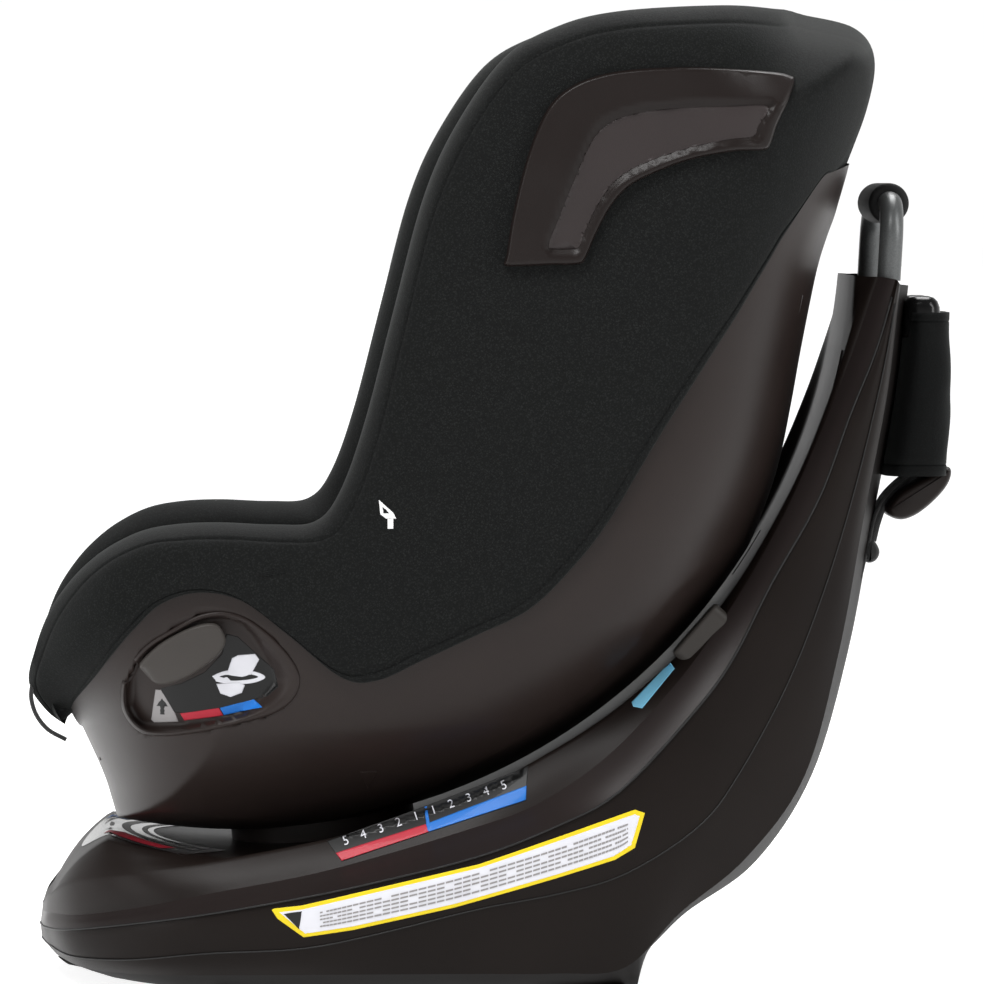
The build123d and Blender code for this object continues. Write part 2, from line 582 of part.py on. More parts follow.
ADJUSTER = Plane(origin=(-266, 0, 274), x_dir=(0, 1, 0), z_dir=(-0.312, 0, 0.950))
with BuildPart() as harness_adjuster:
    with BuildSketch(ADJUSTER.offset(-9)):
        RectangleRounded(46, 34, 6)
    extrude(amount=12)
    with BuildSketch(ADJUSTER.offset(-4)):
        RectangleRounded(27, 19, 4)
    extrude(amount=12, mode=Mode.SUBTRACT)
with BuildPart() as adjuster_button:
    with BuildSketch(ADJUSTER.offset(-0.4)):
        RectangleRounded(26, 18, 3.6)
    extrude(amount=4.4)
seat_cushion -= harness_adjuster.part + adjuster_button.part
with BuildPart() as adjuster_clear:
    with BuildSketch(ADJUSTER.offset(-9)):
        RectangleRounded(46, 34, 6)
    extrude(amount=20)
seat_cushion -= adjuster_clear.part

elastic = strap_run([(-318.4, 206), (-316, 193), (-306, 180), (-297, 171)], 0, 280)
elastic -= seat_cushion

save(shell, "seat_shell")
save(seat_frame, "seat_frame")
save(ring, "turning_ring")
save(lock_pin.part, "turn_lock_pin_right")
save(mirrored(lock_pin.part), "turn_lock_pin_left")
save(recline_handle, "recline_handle")
save(bezel, "rotate_bezel_right")
save(mirrored(bezel), "rotate_bezel_left")
save(button, "rotate_button_right")
save(mirrored(button), "rotate_button_left")
save(side_cover, "side_cover_right")
save(mirrored(side_cover), "side_cover_left")
save(head_cover, "head_cover")
save(pod, "side_pod_right")
save(mirrored(pod), "side_pod_left")
save(wing_pad, "wing_pad_right")
save(mirrored(wing_pad), "wing_pad_left")
save(thigh_bolster, "thigh_bolster_right")
save(mirrored(thigh_bolster), "thigh_bolster_left")
save(back_cushion, "back_cushion")
save(seat_cushion, "seat_cushion")
save(liner, "foam_liner")
save(headrest, "headrest")
save(headrest_lever, "headrest_lever")
save(straps, "harness_straps")
save(crotch, "crotch_strap")
save(buckle.part, "buckle")
save(buckle_button.part, "buckle_button")
save(chest_clip, "chest_clip")
save(Compound(pads), "shoulder_pads")
save(harness_adjuster.part, "harness_adjuster")
save(adjuster_button.part, "adjuster_button")
save(elastic, "front_elastic")
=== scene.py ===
"""Looks of the rotating car seat: shells, padded covers, harness, labels, light and camera.

Lengths in the outline tables are millimetres.  The seat's front faces -X and +Z is up.
"""
import math

import bpy
import numpy as np
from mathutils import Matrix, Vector, geometry, noise
from mathutils.bvhtree import BVHTree


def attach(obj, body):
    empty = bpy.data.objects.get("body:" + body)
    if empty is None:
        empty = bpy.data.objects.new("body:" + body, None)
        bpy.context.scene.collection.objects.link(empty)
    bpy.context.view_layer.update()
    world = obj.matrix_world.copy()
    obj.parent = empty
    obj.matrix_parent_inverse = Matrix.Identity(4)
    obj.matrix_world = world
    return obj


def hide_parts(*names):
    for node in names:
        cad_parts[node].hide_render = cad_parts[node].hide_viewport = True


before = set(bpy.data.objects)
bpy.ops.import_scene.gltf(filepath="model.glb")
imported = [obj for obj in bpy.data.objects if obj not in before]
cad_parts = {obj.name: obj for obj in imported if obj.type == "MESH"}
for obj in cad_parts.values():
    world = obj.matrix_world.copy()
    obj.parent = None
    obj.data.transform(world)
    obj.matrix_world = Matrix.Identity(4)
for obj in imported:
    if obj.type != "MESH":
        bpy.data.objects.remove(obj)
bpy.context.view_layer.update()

MM = 0.001
CAMERA_DISTANCE = 5000.0                  # from the seat's middle plane
CAMERA_X, CAMERA_Z = -190.0, 550.0
DRAWING_SCALE, DRAWING_DROP = 1.012, -8.0  # side elevation to the seat's middle plane
WELD_DISTANCE = 0.2 * MM


def elevation_point(x, z, y):
    """Where a point of the side elevation lies when it is a distance y from the middle plane."""
    depth = 1 - abs(y) / CAMERA_DISTANCE
    return (CAMERA_X + (x * DRAWING_SCALE - CAMERA_X) * depth,
            CAMERA_Z + (z * DRAWING_SCALE + DRAWING_DROP - CAMERA_Z) * depth)


def spline(rows, per_span):
    """Catmull-Rom curve through rows of numbers, with even steps in each span."""
    rows = np.array(rows, float)
    padded = np.vstack([2 * rows[0] - rows[1], rows, 2 * rows[-1] - rows[-2]])
    result = []
    for index in range(len(rows) - 1):
        a, b, c, d = padded[index:index + 4]
        for step in range(per_span):
            t = step / per_span
            result.append(0.5 * (2 * b + (c - a) * t + (2 * a - 5 * b + 4 * c - d) * t * t
                                 + (3 * b - a - 3 * c + d) * t ** 3))
    result.append(rows[-1])
    return np.array(result)


def add_mesh(name, points, faces, material, body, node=None):
    """A mesh piece in metres, from points in millimetres, that moves with a body."""
    mesh = bpy.data.meshes.new(name)
    mesh.from_pydata([tuple(np.array(p) * MM) for p in points], [], faces)
    mesh.validate()
    mesh.shade_smooth()
    piece = bpy.data.objects.new(name, mesh)
    bpy.context.scene.collection.objects.link(piece)
    mesh.materials.append(material)
    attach(piece, body)
    if node:
        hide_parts(*([node] if isinstance(node, str) else node))
    return piece


def grid_faces(rows, columns, flip=False, start=0):
    """Quads of a grid whose points are stored row by row."""
    faces = []
    for r in range(rows - 1):
        for c in range(columns - 1):
            a = start + r * columns + c
            quad = (a, a + 1, a + columns + 1, a + columns)
            faces.append(quad[::-1] if flip else quad)
    return faces


def weld(piece):
    """Join points that coincide, so that mirrored halves close."""
    modifier = piece.modifiers.new("weld", "WELD")
    modifier.merge_threshold = WELD_DISTANCE
    apply_modifiers(piece)


def apply_modifiers(piece):
    """Replace the piece's mesh by its evaluated one."""
    depsgraph = bpy.context.evaluated_depsgraph_get()
    mesh = bpy.data.meshes.new_from_object(piece.evaluated_get(depsgraph))
    piece.modifiers.clear()
    piece.data = mesh


def mirrored_grid(name, grid, material, body, node=None):
    """A grid on the -Y side and its mirror image, as one welded piece."""
    rows, columns = grid.shape[:2]
    points = grid.reshape(-1, 3)
    other = points * np.array([1, -1, 1])
    faces = grid_faces(rows, columns) + grid_faces(rows, columns, True, rows * columns)
    piece = add_mesh(name, np.vstack([points, other]), faces, material, body, node)
    weld(piece)
    return piece


# ---------------------------------------------------------------- materials
def node_material(name, color, roughness, metallic=0.0, sheen=0.0, coat=0.0, specular=0.5):
    """A Principled material, and its node tree and shader."""
    material = bpy.data.materials.new(name)
    material.use_nodes = True
    tree = material.node_tree
    shader = tree.nodes["Principled BSDF"]
    shader.inputs["Base Color"].default_value = (*color, 1)
    shader.inputs["Roughness"].default_value = roughness
    shader.inputs["Metallic"].default_value = metallic
    shader.inputs["Sheen Weight"].default_value = sheen
    shader.inputs["Coat Weight"].default_value = coat
    shader.inputs["Specular IOR Level"].default_value = specular
    return material, tree, shader


def texture(tree, kind, scale, **settings):
    """A texture node in object coordinates."""
    coordinates = tree.nodes.new("ShaderNodeTexCoord")
    node = tree.nodes.new(kind)
    node.inputs["Scale"].default_value = scale
    for key, value in settings.items():
        if key in node.inputs:
            node.inputs[key].default_value = value
        else:
            setattr(node, key, value)
    tree.links.new(coordinates.outputs["Object"], node.inputs["Vector"])
    return node


def color_ramp(tree, source, low, high, start, end):
    """Blend of two colours driven by a texture's output."""
    ramp = tree.nodes.new("ShaderNodeValToRGB")
    ramp.color_ramp.elements[0].position = start
    ramp.color_ramp.elements[1].position = end
    ramp.color_ramp.elements[0].color = (*low, 1)
    ramp.color_ramp.elements[1].color = (*high, 1)
    tree.links.new(source, ramp.inputs["Fac"])
    return ramp


def tint(tree, shader, source, low, high, start=0.3, end=0.7):
    """Colour a shader by a blend of two colours."""
    ramp = color_ramp(tree, source, low, high, start, end)
    tree.links.new(ramp.outputs["Color"], shader.inputs["Base Color"])


def bump(tree, shader, sources, distance):
    """Chain of bumps, each from (texture output, strength)."""
    previous = None
    for source, strength in sources:
        node = tree.nodes.new("ShaderNodeBump")
        node.inputs["Strength"].default_value = strength
        node.inputs["Distance"].default_value = distance
        tree.links.new(source, node.inputs["Height"])
        if previous:
            tree.links.new(previous.outputs["Normal"], node.inputs["Normal"])
        previous = node
    tree.links.new(previous.outputs["Normal"], shader.inputs["Normal"])


def moulded_plastic(name, low, high, roughness, specular=0.17):
    """Moulded plastic with a fine spark-eroded grain and slight cloudiness."""
    material, tree, shader = node_material(name, low, roughness, specular=specular)
    clouds = texture(tree, "ShaderNodeTexNoise", 9.0, Detail=3.0)
    tint(tree, shader, clouds.outputs["Fac"], low, high)
    grain = texture(tree, "ShaderNodeTexNoise", 1400.0, Detail=2.0)
    bump(tree, shader, [(grain.outputs["Fac"], 0.22)], 0.0004)
    worn = tree.nodes.new("ShaderNodeMapRange")
    worn.inputs["To Min"].default_value = roughness - 0.06
    worn.inputs["To Max"].default_value = roughness + 0.06
    tree.links.new(clouds.outputs["Fac"], worn.inputs["Value"])
    tree.links.new(worn.outputs["Result"], shader.inputs["Roughness"])
    return material


def knit_fabric(name, low, high, stitch, sheen):
    """Fine knit: small raised stitches, flecks and a soft sheen."""
    material, tree, shader = node_material(name, low, 0.92, sheen=sheen, specular=0.15)
    shader.inputs["Sheen Roughness"].default_value = 0.45
    shader.inputs["Sheen Tint"].default_value = (0.8, 0.85, 0.82, 1)
    stitches = texture(tree, "ShaderNodeTexVoronoi", stitch, Randomness=1.0)
    flecks = texture(tree, "ShaderNodeTexNoise", stitch * 0.8, Detail=3.0, Roughness=0.7)
    mixed = tree.nodes.new("ShaderNodeMath")
    mixed.operation = "ADD"
    tree.links.new(stitches.outputs["Distance"], mixed.inputs[0])
    tree.links.new(flecks.outputs["Fac"], mixed.inputs[1])
    tint(tree, shader, mixed.outputs["Value"], high, low, 0.42, 1.35)
    bump(tree, shader, [(flecks.outputs["Fac"], 0.5), (mixed.outputs["Value"], -0.5)], 0.0005)
    return material


def woven_webbing(name, low, high):
    """Tight herringbone webbing."""
    material, tree, shader = node_material(name, low, 0.75, sheen=0.15, specular=0.3)
    ribs = texture(tree, "ShaderNodeTexWave", 420.0, bands_direction="DIAGONAL", Distortion=0.3)
    tint(tree, shader, ribs.outputs["Fac"], low, high)
    bump(tree, shader, [(ribs.outputs["Fac"], 0.6)], 0.0006)
    return material


def printed_film(name, color, roughness=0.5, coat=0.05):
    """Printed label film, faintly uneven."""
    material, tree, shader = node_material(name, color, roughness, coat=coat, specular=0.25)
    clouds = texture(tree, "ShaderNodeTexNoise", 60.0, Detail=2.0)
    tint(tree, shader, clouds.outputs["Fac"], [c * 0.93 for c in color], color)
    bump(tree, shader, [(clouds.outputs["Fac"], 0.1)], 0.0005)
    return material


def coated_metal(name, low, high, roughness):
    """Powder-coated or satin metal."""
    material, tree, shader = node_material(name, low, roughness, metallic=0.4)
    grain = texture(tree, "ShaderNodeTexNoise", 900.0, Detail=3.0)
    tint(tree, shader, grain.outputs["Fac"], low, high)
    bump(tree, shader, [(grain.outputs["Fac"], 0.15)], 0.0003)
    return material


SHELL_PLASTIC = moulded_plastic("shell_plastic", (0.0118, 0.0080, 0.0070), (0.0150, 0.0103, 0.0090), 0.40)
POD_PLASTIC = moulded_plastic("pod_plastic", (0.0070, 0.0048, 0.0043), (0.0090, 0.0063, 0.0057), 0.34, 0.14)
BASE_PLASTIC = moulded_plastic("base_plastic", (0.0072, 0.0049, 0.0042), (0.0092, 0.0064, 0.0055), 0.40,
                               0.12)
# lighter copy of the base plastic for the bevel band: painted highlight where the light from above falls on
# the bevel
BEVEL_HIGHLIGHT_PLASTIC = moulded_plastic("bevel_plastic_painted_highlight", (0.0135, 0.0102, 0.0098), (0.0165, 0.0126, 0.0120), 0.36,
                                0.16)
# darker copy of the base plastic for the lower body: painted shade against the floor's light from below
LOWER_SHADE_PLASTIC = moulded_plastic("lower_plastic_painted_shade", (0.0050, 0.0034, 0.0028), (0.0068, 0.0047, 0.0039), 0.42,
                                0.09)
# still darker copy for the base's underside: painted shade under the base, against the floor's light
UNDERSIDE_SHADE_PLASTIC = moulded_plastic("underside_plastic_painted_shade", (0.0030, 0.0024, 0.0022),
                                    (0.0040, 0.0031, 0.0028), 0.55, 0.06)
RECESS_PLASTIC = moulded_plastic("recess_plastic", (0.020, 0.0160, 0.0158), (0.025, 0.0200, 0.0198), 0.34)
GREY_PLASTIC = moulded_plastic("grey_plastic", (0.032, 0.0285, 0.026), (0.039, 0.035, 0.032), 0.45, 0.14)
BLACK_PLASTIC = moulded_plastic("black_plastic", (0.008, 0.008, 0.008), (0.014, 0.014, 0.014), 0.38)
GLOSS_BLACK = moulded_plastic("gloss_black", (0.004, 0.004, 0.004), (0.007, 0.007, 0.007), 0.14)
FABRIC = knit_fabric("cover_fabric", (0.0022, 0.0025, 0.0024), (0.0115, 0.0124, 0.0120), 760.0, 0.03)
PAD_FABRIC = knit_fabric("pad_fabric", (0.004, 0.0043, 0.0043), (0.017, 0.0185, 0.018), 520.0, 0.06)
PIPING = knit_fabric("piping", (0.0018, 0.002, 0.002), (0.007, 0.008, 0.0078), 900.0, 0.04)
WEBBING = woven_webbing("webbing", (0.004, 0.004, 0.004), (0.016, 0.016, 0.016))
RUBBER = moulded_plastic("rubber", (0.006, 0.006, 0.006), (0.010, 0.010, 0.010), 0.7)
HANDLE_STEEL = coated_metal("handle_steel", (0.062, 0.065, 0.065), (0.09, 0.094, 0.094), 0.38)
STEEL = coated_metal("steel", (0.05, 0.05, 0.05), (0.08, 0.08, 0.08), 0.45)
WHITE_FILM = printed_film("white_film", (0.55, 0.55, 0.585))
YELLOW_FILM = printed_film("yellow_film", (0.62, 0.47, 0.006))
BLACK_FILM = printed_film("black_film", (0.006, 0.006, 0.006))
RED_FILM = printed_film("red_film", (0.36, 0.010, 0.026))
BLUE_FILM = printed_film("blue_film", (0.004, 0.12, 0.44))
PALE_BLUE_FILM = printed_film("pale_blue_film", (0.15, 0.40, 0.56))
GREY_FILM = printed_film("grey_film", (0.22, 0.21, 0.21))
DARK_FILM = printed_film("dark_film", (0.035, 0.032, 0.032), 0.16)
WHITE_THREAD = printed_film("white_thread", (0.62, 0.62, 0.62), 0.8, 0.0)


# ---------------------------------------------------------------- seat outside
# Rear and lower outline of the seat in the side view, and the half width by height, each in millimetres.
BACK_OUTLINE = [
    (-282, 177), (-265, 138), (-258, 114), (-240, 100), (-215, 94), (-184, 94), (-118, 105), (-74, 113),
    (6, 136), (74, 180), (143, 241), (177, 305), (197, 360), (212, 435), (225, 500), (235, 529), (243, 558),
    (258, 600), (263, 635), (249, 655), (214, 664)]
HALF_WIDTHS = [
    (60, 150), (120, 170), (180, 192), (250, 206), (320, 211), (560, 212), (640, 207), (700, 192)]
FRONT_X, FRONT_CORNER = -322.0, 84.0      # front of the seat, and radius of its corners seen from above
ROUNDING, ROUNDING_POWER = 112.0, 2.2     # depth and fullness of the rounding along the outline

middle_outline = np.array([elevation_point(x, z, 0) for x, z in spline(BACK_OUTLINE, 8)])


def distance_to_outline(x, z):
    """Distance in the side view to the seat's rear and lower outline."""
    a, b = middle_outline[:-1], middle_outline[1:]
    step = b - a
    t = ((np.array([x, z]) - a) * step).sum(1) / (step ** 2).sum(1)
    nearest = a + step * np.clip(t, 0, 1)[:, None]
    return float(np.hypot(nearest[:, 0] - x, nearest[:, 1] - z).min())


def half_width(x, z):
    """Half width of the seat's outside at a point of its side view."""
    width = float(np.interp(z, [h for h, _ in HALF_WIDTHS], [w for _, w in HALF_WIDTHS]))
    reach = x - FRONT_X
    if reach < FRONT_CORNER:
        inside = max(0.0, FRONT_CORNER - max(reach, 0))
        width = min(width, width - FRONT_CORNER + math.sqrt(FRONT_CORNER ** 2 - inside ** 2))
    depth = min(1.0, distance_to_outline(x, z) / ROUNDING)
    return width * (1 - (1 - depth) ** ROUNDING_POWER) ** (1 / ROUNDING_POWER)


# Edge of the wing and thigh bolster, half width of the edge's crest, depth of its rounding,
# hem, and inner foot of the side wall with its half width.
SIDE_STATIONS = [
    (243, 558, 0, 30, 240, 556, 236, 562, 0), (258, 600, 0, 30, 233, 553, 240, 600, 0),
    (263, 635, 0, 30, 223, 541, 238, 634, 0), (249, 655, 0, 30, 209, 521, 226, 650, 0),
    (214, 664, 0, 30, 200, 508, 208, 652, 0), (202, 667, 0, 30, 192, 495, 184, 642, 0),
    (195, 668, 96, 30, 183, 481, 182, 634, 100), (158, 670.5, 148, 30, 168, 457, 172, 614, 148),
    (88, 666.5, 172, 28, 150, 430, 160, 592, 150),
    (45, 656, 178, 24, 133, 404, 148, 570, 150), (8, 634, 181, 22, 116, 378, 130, 528, 150),
    (-26, 586, 181, 22, 98, 348, 108, 476, 150), (-48, 536, 181, 22, 80, 318, 85, 422, 150),
    (-68, 460, 181, 22, 58, 289, 58, 359, 150), (-88, 383, 180, 24, 26, 257, 30, 295, 150),
    (-105, 336, 179, 26, -12, 238, 5, 258, 150), (-122, 316, 178, 28, -48, 221, -35, 263, 150),
    (-151, 314, 176, 30, -79, 207, -80, 268, 150), (-186, 315.5, 174, 30, -104, 209, -130, 274, 150),
    (-215, 314.5, 172, 30, -141, 239, -180, 279, 150), (-240, 310, 168, 30, -172, 262, -222, 282, 149),
    (-263, 299, 163, 30, -202, 268, -250, 279, 146), (-281, 285, 157, 30, -228, 260, -268, 270, 142),
    (-295, 269, 151, 30, -246, 243, -281, 256, 137), (-306, 251, 145, 28, -261, 225, -292, 240, 132),
    (-314, 229, 139, 26, -274, 207, -300, 222, 128), (-319, 205, 134, 24, -284, 194, -304, 200, 124),
    (-308, 186, 132, 20, -289, 187, -299, 184, 122), (-295, 173, 132, 14, -292, 180, -292, 175, 122)]
HEM_ROLL = [(0, 7), (-0.4, 3), (0.3, 0.6), (2, -0.3), (4.2, -0.2), (5.4, 0.9), (6.4, 0.9), (7.8, -0.1)]
EDGE_SEAM = [(15.5, 0), (13.4, 0.3), (12.6, 1.3), (11.8, 0.3)]
HEM_LEVEL = 190                           # half width at which the hem's line lies
SHORT_SIDE = 90.0                         # a side lower than this has a narrower hem and seam
OUTSIDE_ROWS, EDGE_ROWS, INSIDE_ROWS = 22, 9, 24
SOFT_POWER = 2.1
CHEST_HEIGHT = 450.0                      # above it the inside of the wall is padded less


def rounded(depth, limit):
    """Share of the full width at a depth from a rounded edge."""
    share = min(1.0, max(0.0, depth / limit))
    return (1 - (1 - share) ** SOFT_POWER) ** (1 / SOFT_POWER)


def outside_marks(length):
    """Distances from the hem to the edge, each with how far the cover is sewn in there."""
    shrink = min(1.0, length / SHORT_SIDE)
    marks = [(distance * shrink, inset) for distance, inset in HEM_ROLL]
    first, last = marks[-1][0], length - EDGE_SEAM[0][0] * shrink
    marks += [(first + (last - first) * row / OUTSIDE_ROWS, 0.0) for row in range(1, OUTSIDE_ROWS)]
    marks += [(length - distance * shrink, inset) for distance, inset in EDGE_SEAM]
    marks += [(length - EDGE_SEAM[-1][0] * shrink * (1 - row / EDGE_ROWS) ** 2, 0.0)
              for row in range(1, EDGE_ROWS + 1)]
    return marks


def wall_outside(hem, edge, crest, limit):
    """Points of the cover from the hem up to the edge of the side wall."""
    length = float(np.linalg.norm(edge - hem))
    column = []
    for travel, inset in outside_marks(length):
        x, z = hem + (edge - hem) * travel / max(length, 1e-6)
        width = half_width(x, z) - inset
        crest_here = min(crest, width)
        y = crest_here + (width - crest_here) * rounded(length - travel, limit)
        place = Vector((x, y, z))
        ripple = noise.noise(place * 0.021) * 0.9 + noise.noise(place * 0.06) * 0.25
        column.append((x, -(y + ripple * min(1.0, y / 60)), z))
    return column


def wall_inside(edge, foot, foot_y, crest, limit):
    """Points of the cover from the edge of the side wall down to its inner foot."""
    crest_here = min(crest, half_width(*edge))
    side = min(foot_y, crest_here)
    length = float(np.linalg.norm(foot - edge))
    column = []
    for row in range(1, INSIDE_ROWS + 1):
        travel = length * (row / INSIDE_ROWS) ** 1.6
        x, z = edge + (foot - edge) * travel / max(length, 1e-6)
        padding = 3.0 if z > CHEST_HEIGHT else 6.0
        puff = padding * math.sin(math.pi * min(1.0, travel / max(length, 1e-6)))
        y = crest_here - (crest_here - side) * rounded(travel, limit * 1.2) - puff * min(1.0, side / 120)
        column.append((x, -max(0.0, y), z))
    return column


def side_cover_grid():
    """Cover of one side wall: from the hem over the outside and the edge to the inner foot."""
    columns = []
    for row in spline(SIDE_STATIONS, 9):
        edge_x, edge_z, crest, limit, hem_x, hem_z, foot_x, foot_z, foot_y = row
        hem = np.array(elevation_point(hem_x, hem_z, HEM_LEVEL))
        edge = np.array(elevation_point(edge_x, edge_z, max(crest, 0)))
        foot = np.array((foot_x, foot_z))
        columns.append(wall_outside(hem, edge, crest, limit)
                       + wall_inside(edge, foot, foot_y, crest, limit))
    return np.array(columns).transpose(1, 0, 2)


RECLINE_CENTRE = np.array([-175.2, 514.1])
SHELL_RADIUS = 415.3
SPHERE_TOP = 500.0                        # the seat is clear of its base above this height


def inside_sphere(x, y, z):
    """The point, drawn in to the sphere that lets the seat turn and recline in its base."""
    away = np.array([x - RECLINE_CENTRE[0], y, z - RECLINE_CENTRE[1]])
    reach = np.linalg.norm(away)
    if z > SPHERE_TOP or reach < SHELL_RADIUS:
        return (x, y, z)
    away *= SHELL_RADIUS / reach
    return (RECLINE_CENTRE[0] + away[0], away[1], RECLINE_CENTRE[1] + away[2])


# The shell's middle line in the side view, from the top of the back to the front.
SHELL_MIDDLE = [
    (244, 562), (243, 555), (240, 545), (237, 536), (234, 525), (229, 511), (222, 489), (212, 440),
    (205, 400), (197, 360), (187, 328), (172, 292), (143, 241), (110, 210), (74, 180), (30, 149),
    (-20, 127), (-74, 113), (-105, 107), (-135, 100), (-165, 96), (-200, 92.5), (-225, 95), (-243, 102),
    (-256, 111), (-261, 124), (-265, 138), (-272, 156), (-282, 177)]
SHELL_ROWS, SHELL_STEPS = 65, 14
CLOSING_ROW = 46                          # from here to the middle line the shell is an even arch
SHELL_INSET = 0.972                       # the shell lies this much inside the cover
HEM_OVERLAP = 9.0


def shell_grid():
    """Moulded shell from under the hem to the seat's middle plane, closing in a smooth arch."""
    hem = spline([station[4:6] for station in SIDE_STATIONS], SHELL_STEPS)
    middle = spline(SHELL_MIDDLE, SHELL_STEPS)
    closing_widths = []
    rows = []
    for step in range(SHELL_ROWS + 1):
        share = 1 - (1 - step / SHELL_ROWS) ** 2
        closing = (SHELL_ROWS - step) / (SHELL_ROWS - CLOSING_ROW)
        row = []
        for column, (hem_point, middle_point) in enumerate(zip(hem, middle)):
            start = np.array(elevation_point(*hem_point, HEM_LEVEL))
            end = np.array(elevation_point(*middle_point, 0))
            away = (start - end) / max(np.linalg.norm(start - end), 1e-6)
            start = start + away * HEM_OVERLAP
            x, z = start + (end - start) * share
            if step > CLOSING_ROW:
                width = closing_widths[column] * closing
            else:
                width = half_width(x, z) * SHELL_INSET
            if step == CLOSING_ROW:
                closing_widths.append(width)
            row.append(inside_sphere(x, -width, z))
        rows.append(row)
    return np.array(rows)


COVERED_NODES = ["side_cover_left", "side_cover_right", "head_cover", "wing_pad_left", "wing_pad_right",
                 "thigh_bolster_left", "thigh_bolster_right"]
cover = mirrored_grid("side_covers", side_cover_grid(), FABRIC, "seat", COVERED_NODES)
shell = mirrored_grid("seat_shell_skin", shell_grid(), SHELL_PLASTIC, "seat", "seat_shell")

# ---------------------------------------------------------------- base outside
# Crest of the rib, upper and lower edge of the bevel, second crease, lower edge; each x, z, half width.
CREST = [
    (-309, 56, 0), (-305, 60, 52), (-288, 69, 100), (-256, 72, 136), (-208, 79, 150), (-140, 92, 152),
    (-88, 104, 151), (-20, 126, 149), (34, 154, 146), (80, 183, 138), (126, 222, 128), (158, 258, 119),
    (185, 299, 110), (212, 350, 101), (232, 400, 94), (247, 447, 87), (259, 484, 80)]
BEVEL_TOP = [
    (-310, 48, 0), (-305, 46, 55), (-284, 44, 107), (-243, 49, 147), (-197, 58, 164), (-132, 70, 168),
    (-88, 81, 168), (-20, 101, 166), (30, 119, 162), (79, 152, 155), (123, 198, 146), (151, 235, 138),
    (178, 277, 127), (204, 325, 115), (229, 382, 104), (249, 432, 95), (267, 484, 86)]
CREASE = [
    (-311, 40, 0), (-307, 36.5, 60), (-292, 35, 118), (-250, 38.5, 163), (-197, 45, 190), (-132, 56, 199.5),
    (-79, 67, 200), (-9, 84.5, 197), (44, 105, 189), (88, 129, 177), (138, 182, 163), (166, 220, 153),
    (193, 273, 141), (225, 330, 128), (247, 389, 116), (265, 434, 106), (279, 482, 95)]
CREASE_LOW = [
    (-310, 30, 0), (-304, 24, 59), (-287, 16, 116), (-248, 14, 160), (-197, 18, 187), (-132, 21, 197),
    (-79, 31, 198), (-9, 48, 195), (44, 58, 188), (92, 72, 178), (142, 104, 166), (170, 140, 156),
    (204, 203, 143), (230, 270, 130), (251, 340, 118), (270, 420, 106), (280.5, 480, 96)]
FOOT_EDGE = [
    (-303, 21, 0), (-296, 15, 52), (-277, 7, 106), (-240, 3, 150), (-197, 2, 176), (-132, 2, 186),
    (-79, 2, 188), (-9, 2, 186), (44, 2, 180), (92, 6, 170), (130, 44, 156), (176, 82, 144),
    (216, 138, 131), (240, 225, 119), (257, 318, 107), (273, 404, 96), (281.5, 478, 86)]
BACK_LINE = [
    (-300, 17, 0), (-290, 10, 0), (-270, 3, 0), (-236, 3, 0), (-197, 3, 0), (-132, 3, 0), (-79, 3, 0),
    (-9, 3, 0), (44, 3, 0), (95, 11, 0), (134, 45, 0), (182, 80, 0), (221, 140, 0), (246, 226, 0),
    (263, 318, 0), (279, 404, 0), (287, 478, 0)]
BASE_STEPS = 8
DECK_RADIUS = 420.5                       # of the hollow that the seat turns in
DECK_FRONT, DECK_FRONT_REACH = -272.0, 33.0
FLAT_UNDERSIDE = 3.0
UNDERSIDE_WIDTH = 0.86                    # of the width at the lower edge
LOW_EDGE = 24.0                           # the lower edge stands on the flat underside below this height


def side_line(points):
    """One of the base's long lines, brought from the side elevation to its half width."""
    return np.array([(*elevation_point(x, z, y), y) for x, z, y in spline(points, BASE_STEPS)])[:, [0, 2, 1]]


def ruled(start, end, steps, bulge):
    """Rows between two long lines; a bulge pushes the middle outwards."""
    rows = []
    for step in range(steps + 1):
        share = step / steps
        out = bulge * math.sin(math.pi * share) * np.minimum(1, start[:, 1:2] / 80)
        rows.append(start + (end - start) * share + np.array([0, 1, 0]) * out)
    return rows


def base_rows(lines):
    """Rows through several long lines, with tight pairs of rows at each for a crisp but rounded edge."""
    rows = []
    for start, end, steps, bulge in lines:
        gap = np.maximum(np.linalg.norm(end - start, axis=1, keepdims=True), 1.0)
        tight = np.minimum(0.45, 1.1 / gap)
        near = start + (end - start) * tight
        far = end - (end - start) * tight
        rows += ruled(near, far, steps, bulge)
    return rows


crest, bevel_top, crease = side_line(CREST), side_line(BEVEL_TOP), side_line(CREASE)
crease_low, foot_edge, back_line = side_line(CREASE_LOW), side_line(FOOT_EDGE), side_line(BACK_LINE)
back_line[:, 2] = np.maximum(back_line[:, 2], FLAT_UNDERSIDE)
under_edge = foot_edge * np.array([1, UNDERSIDE_WIDTH, 1])
front_share = np.clip((foot_edge[:, 0] + 215) / -60, 0, 1)
under_edge[:, 0] += 2.6 * np.clip(foot_edge[:, 2] - FLAT_UNDERSIDE, 0, 20) * front_share
under_edge[:, 2] = np.where(foot_edge[:, 2] < LOW_EDGE, FLAT_UNDERSIDE, foot_edge[:, 2])


def near_side(rows):
    """Rows turned over to the -Y side."""
    return np.array(rows) * np.array([1, -1, 1])


def deck_row(radius_gain, share):
    """A long line of the deck: in the seat's hollow, and along the crest at the front."""
    row = crest.copy()
    row[:, 1] *= share
    away = row[:, [0, 2]] - RECLINE_CENTRE
    length = np.linalg.norm(away, axis=1, keepdims=True)
    target = DECK_RADIUS + radius_gain
    front = np.clip((DECK_FRONT - row[:, 0:1]) / DECK_FRONT_REACH, 0, 1)
    reach = target * (1 - front) + (length + radius_gain) * front
    row[:, [0, 2]] = RECLINE_CENTRE + away / length * reach
    return row


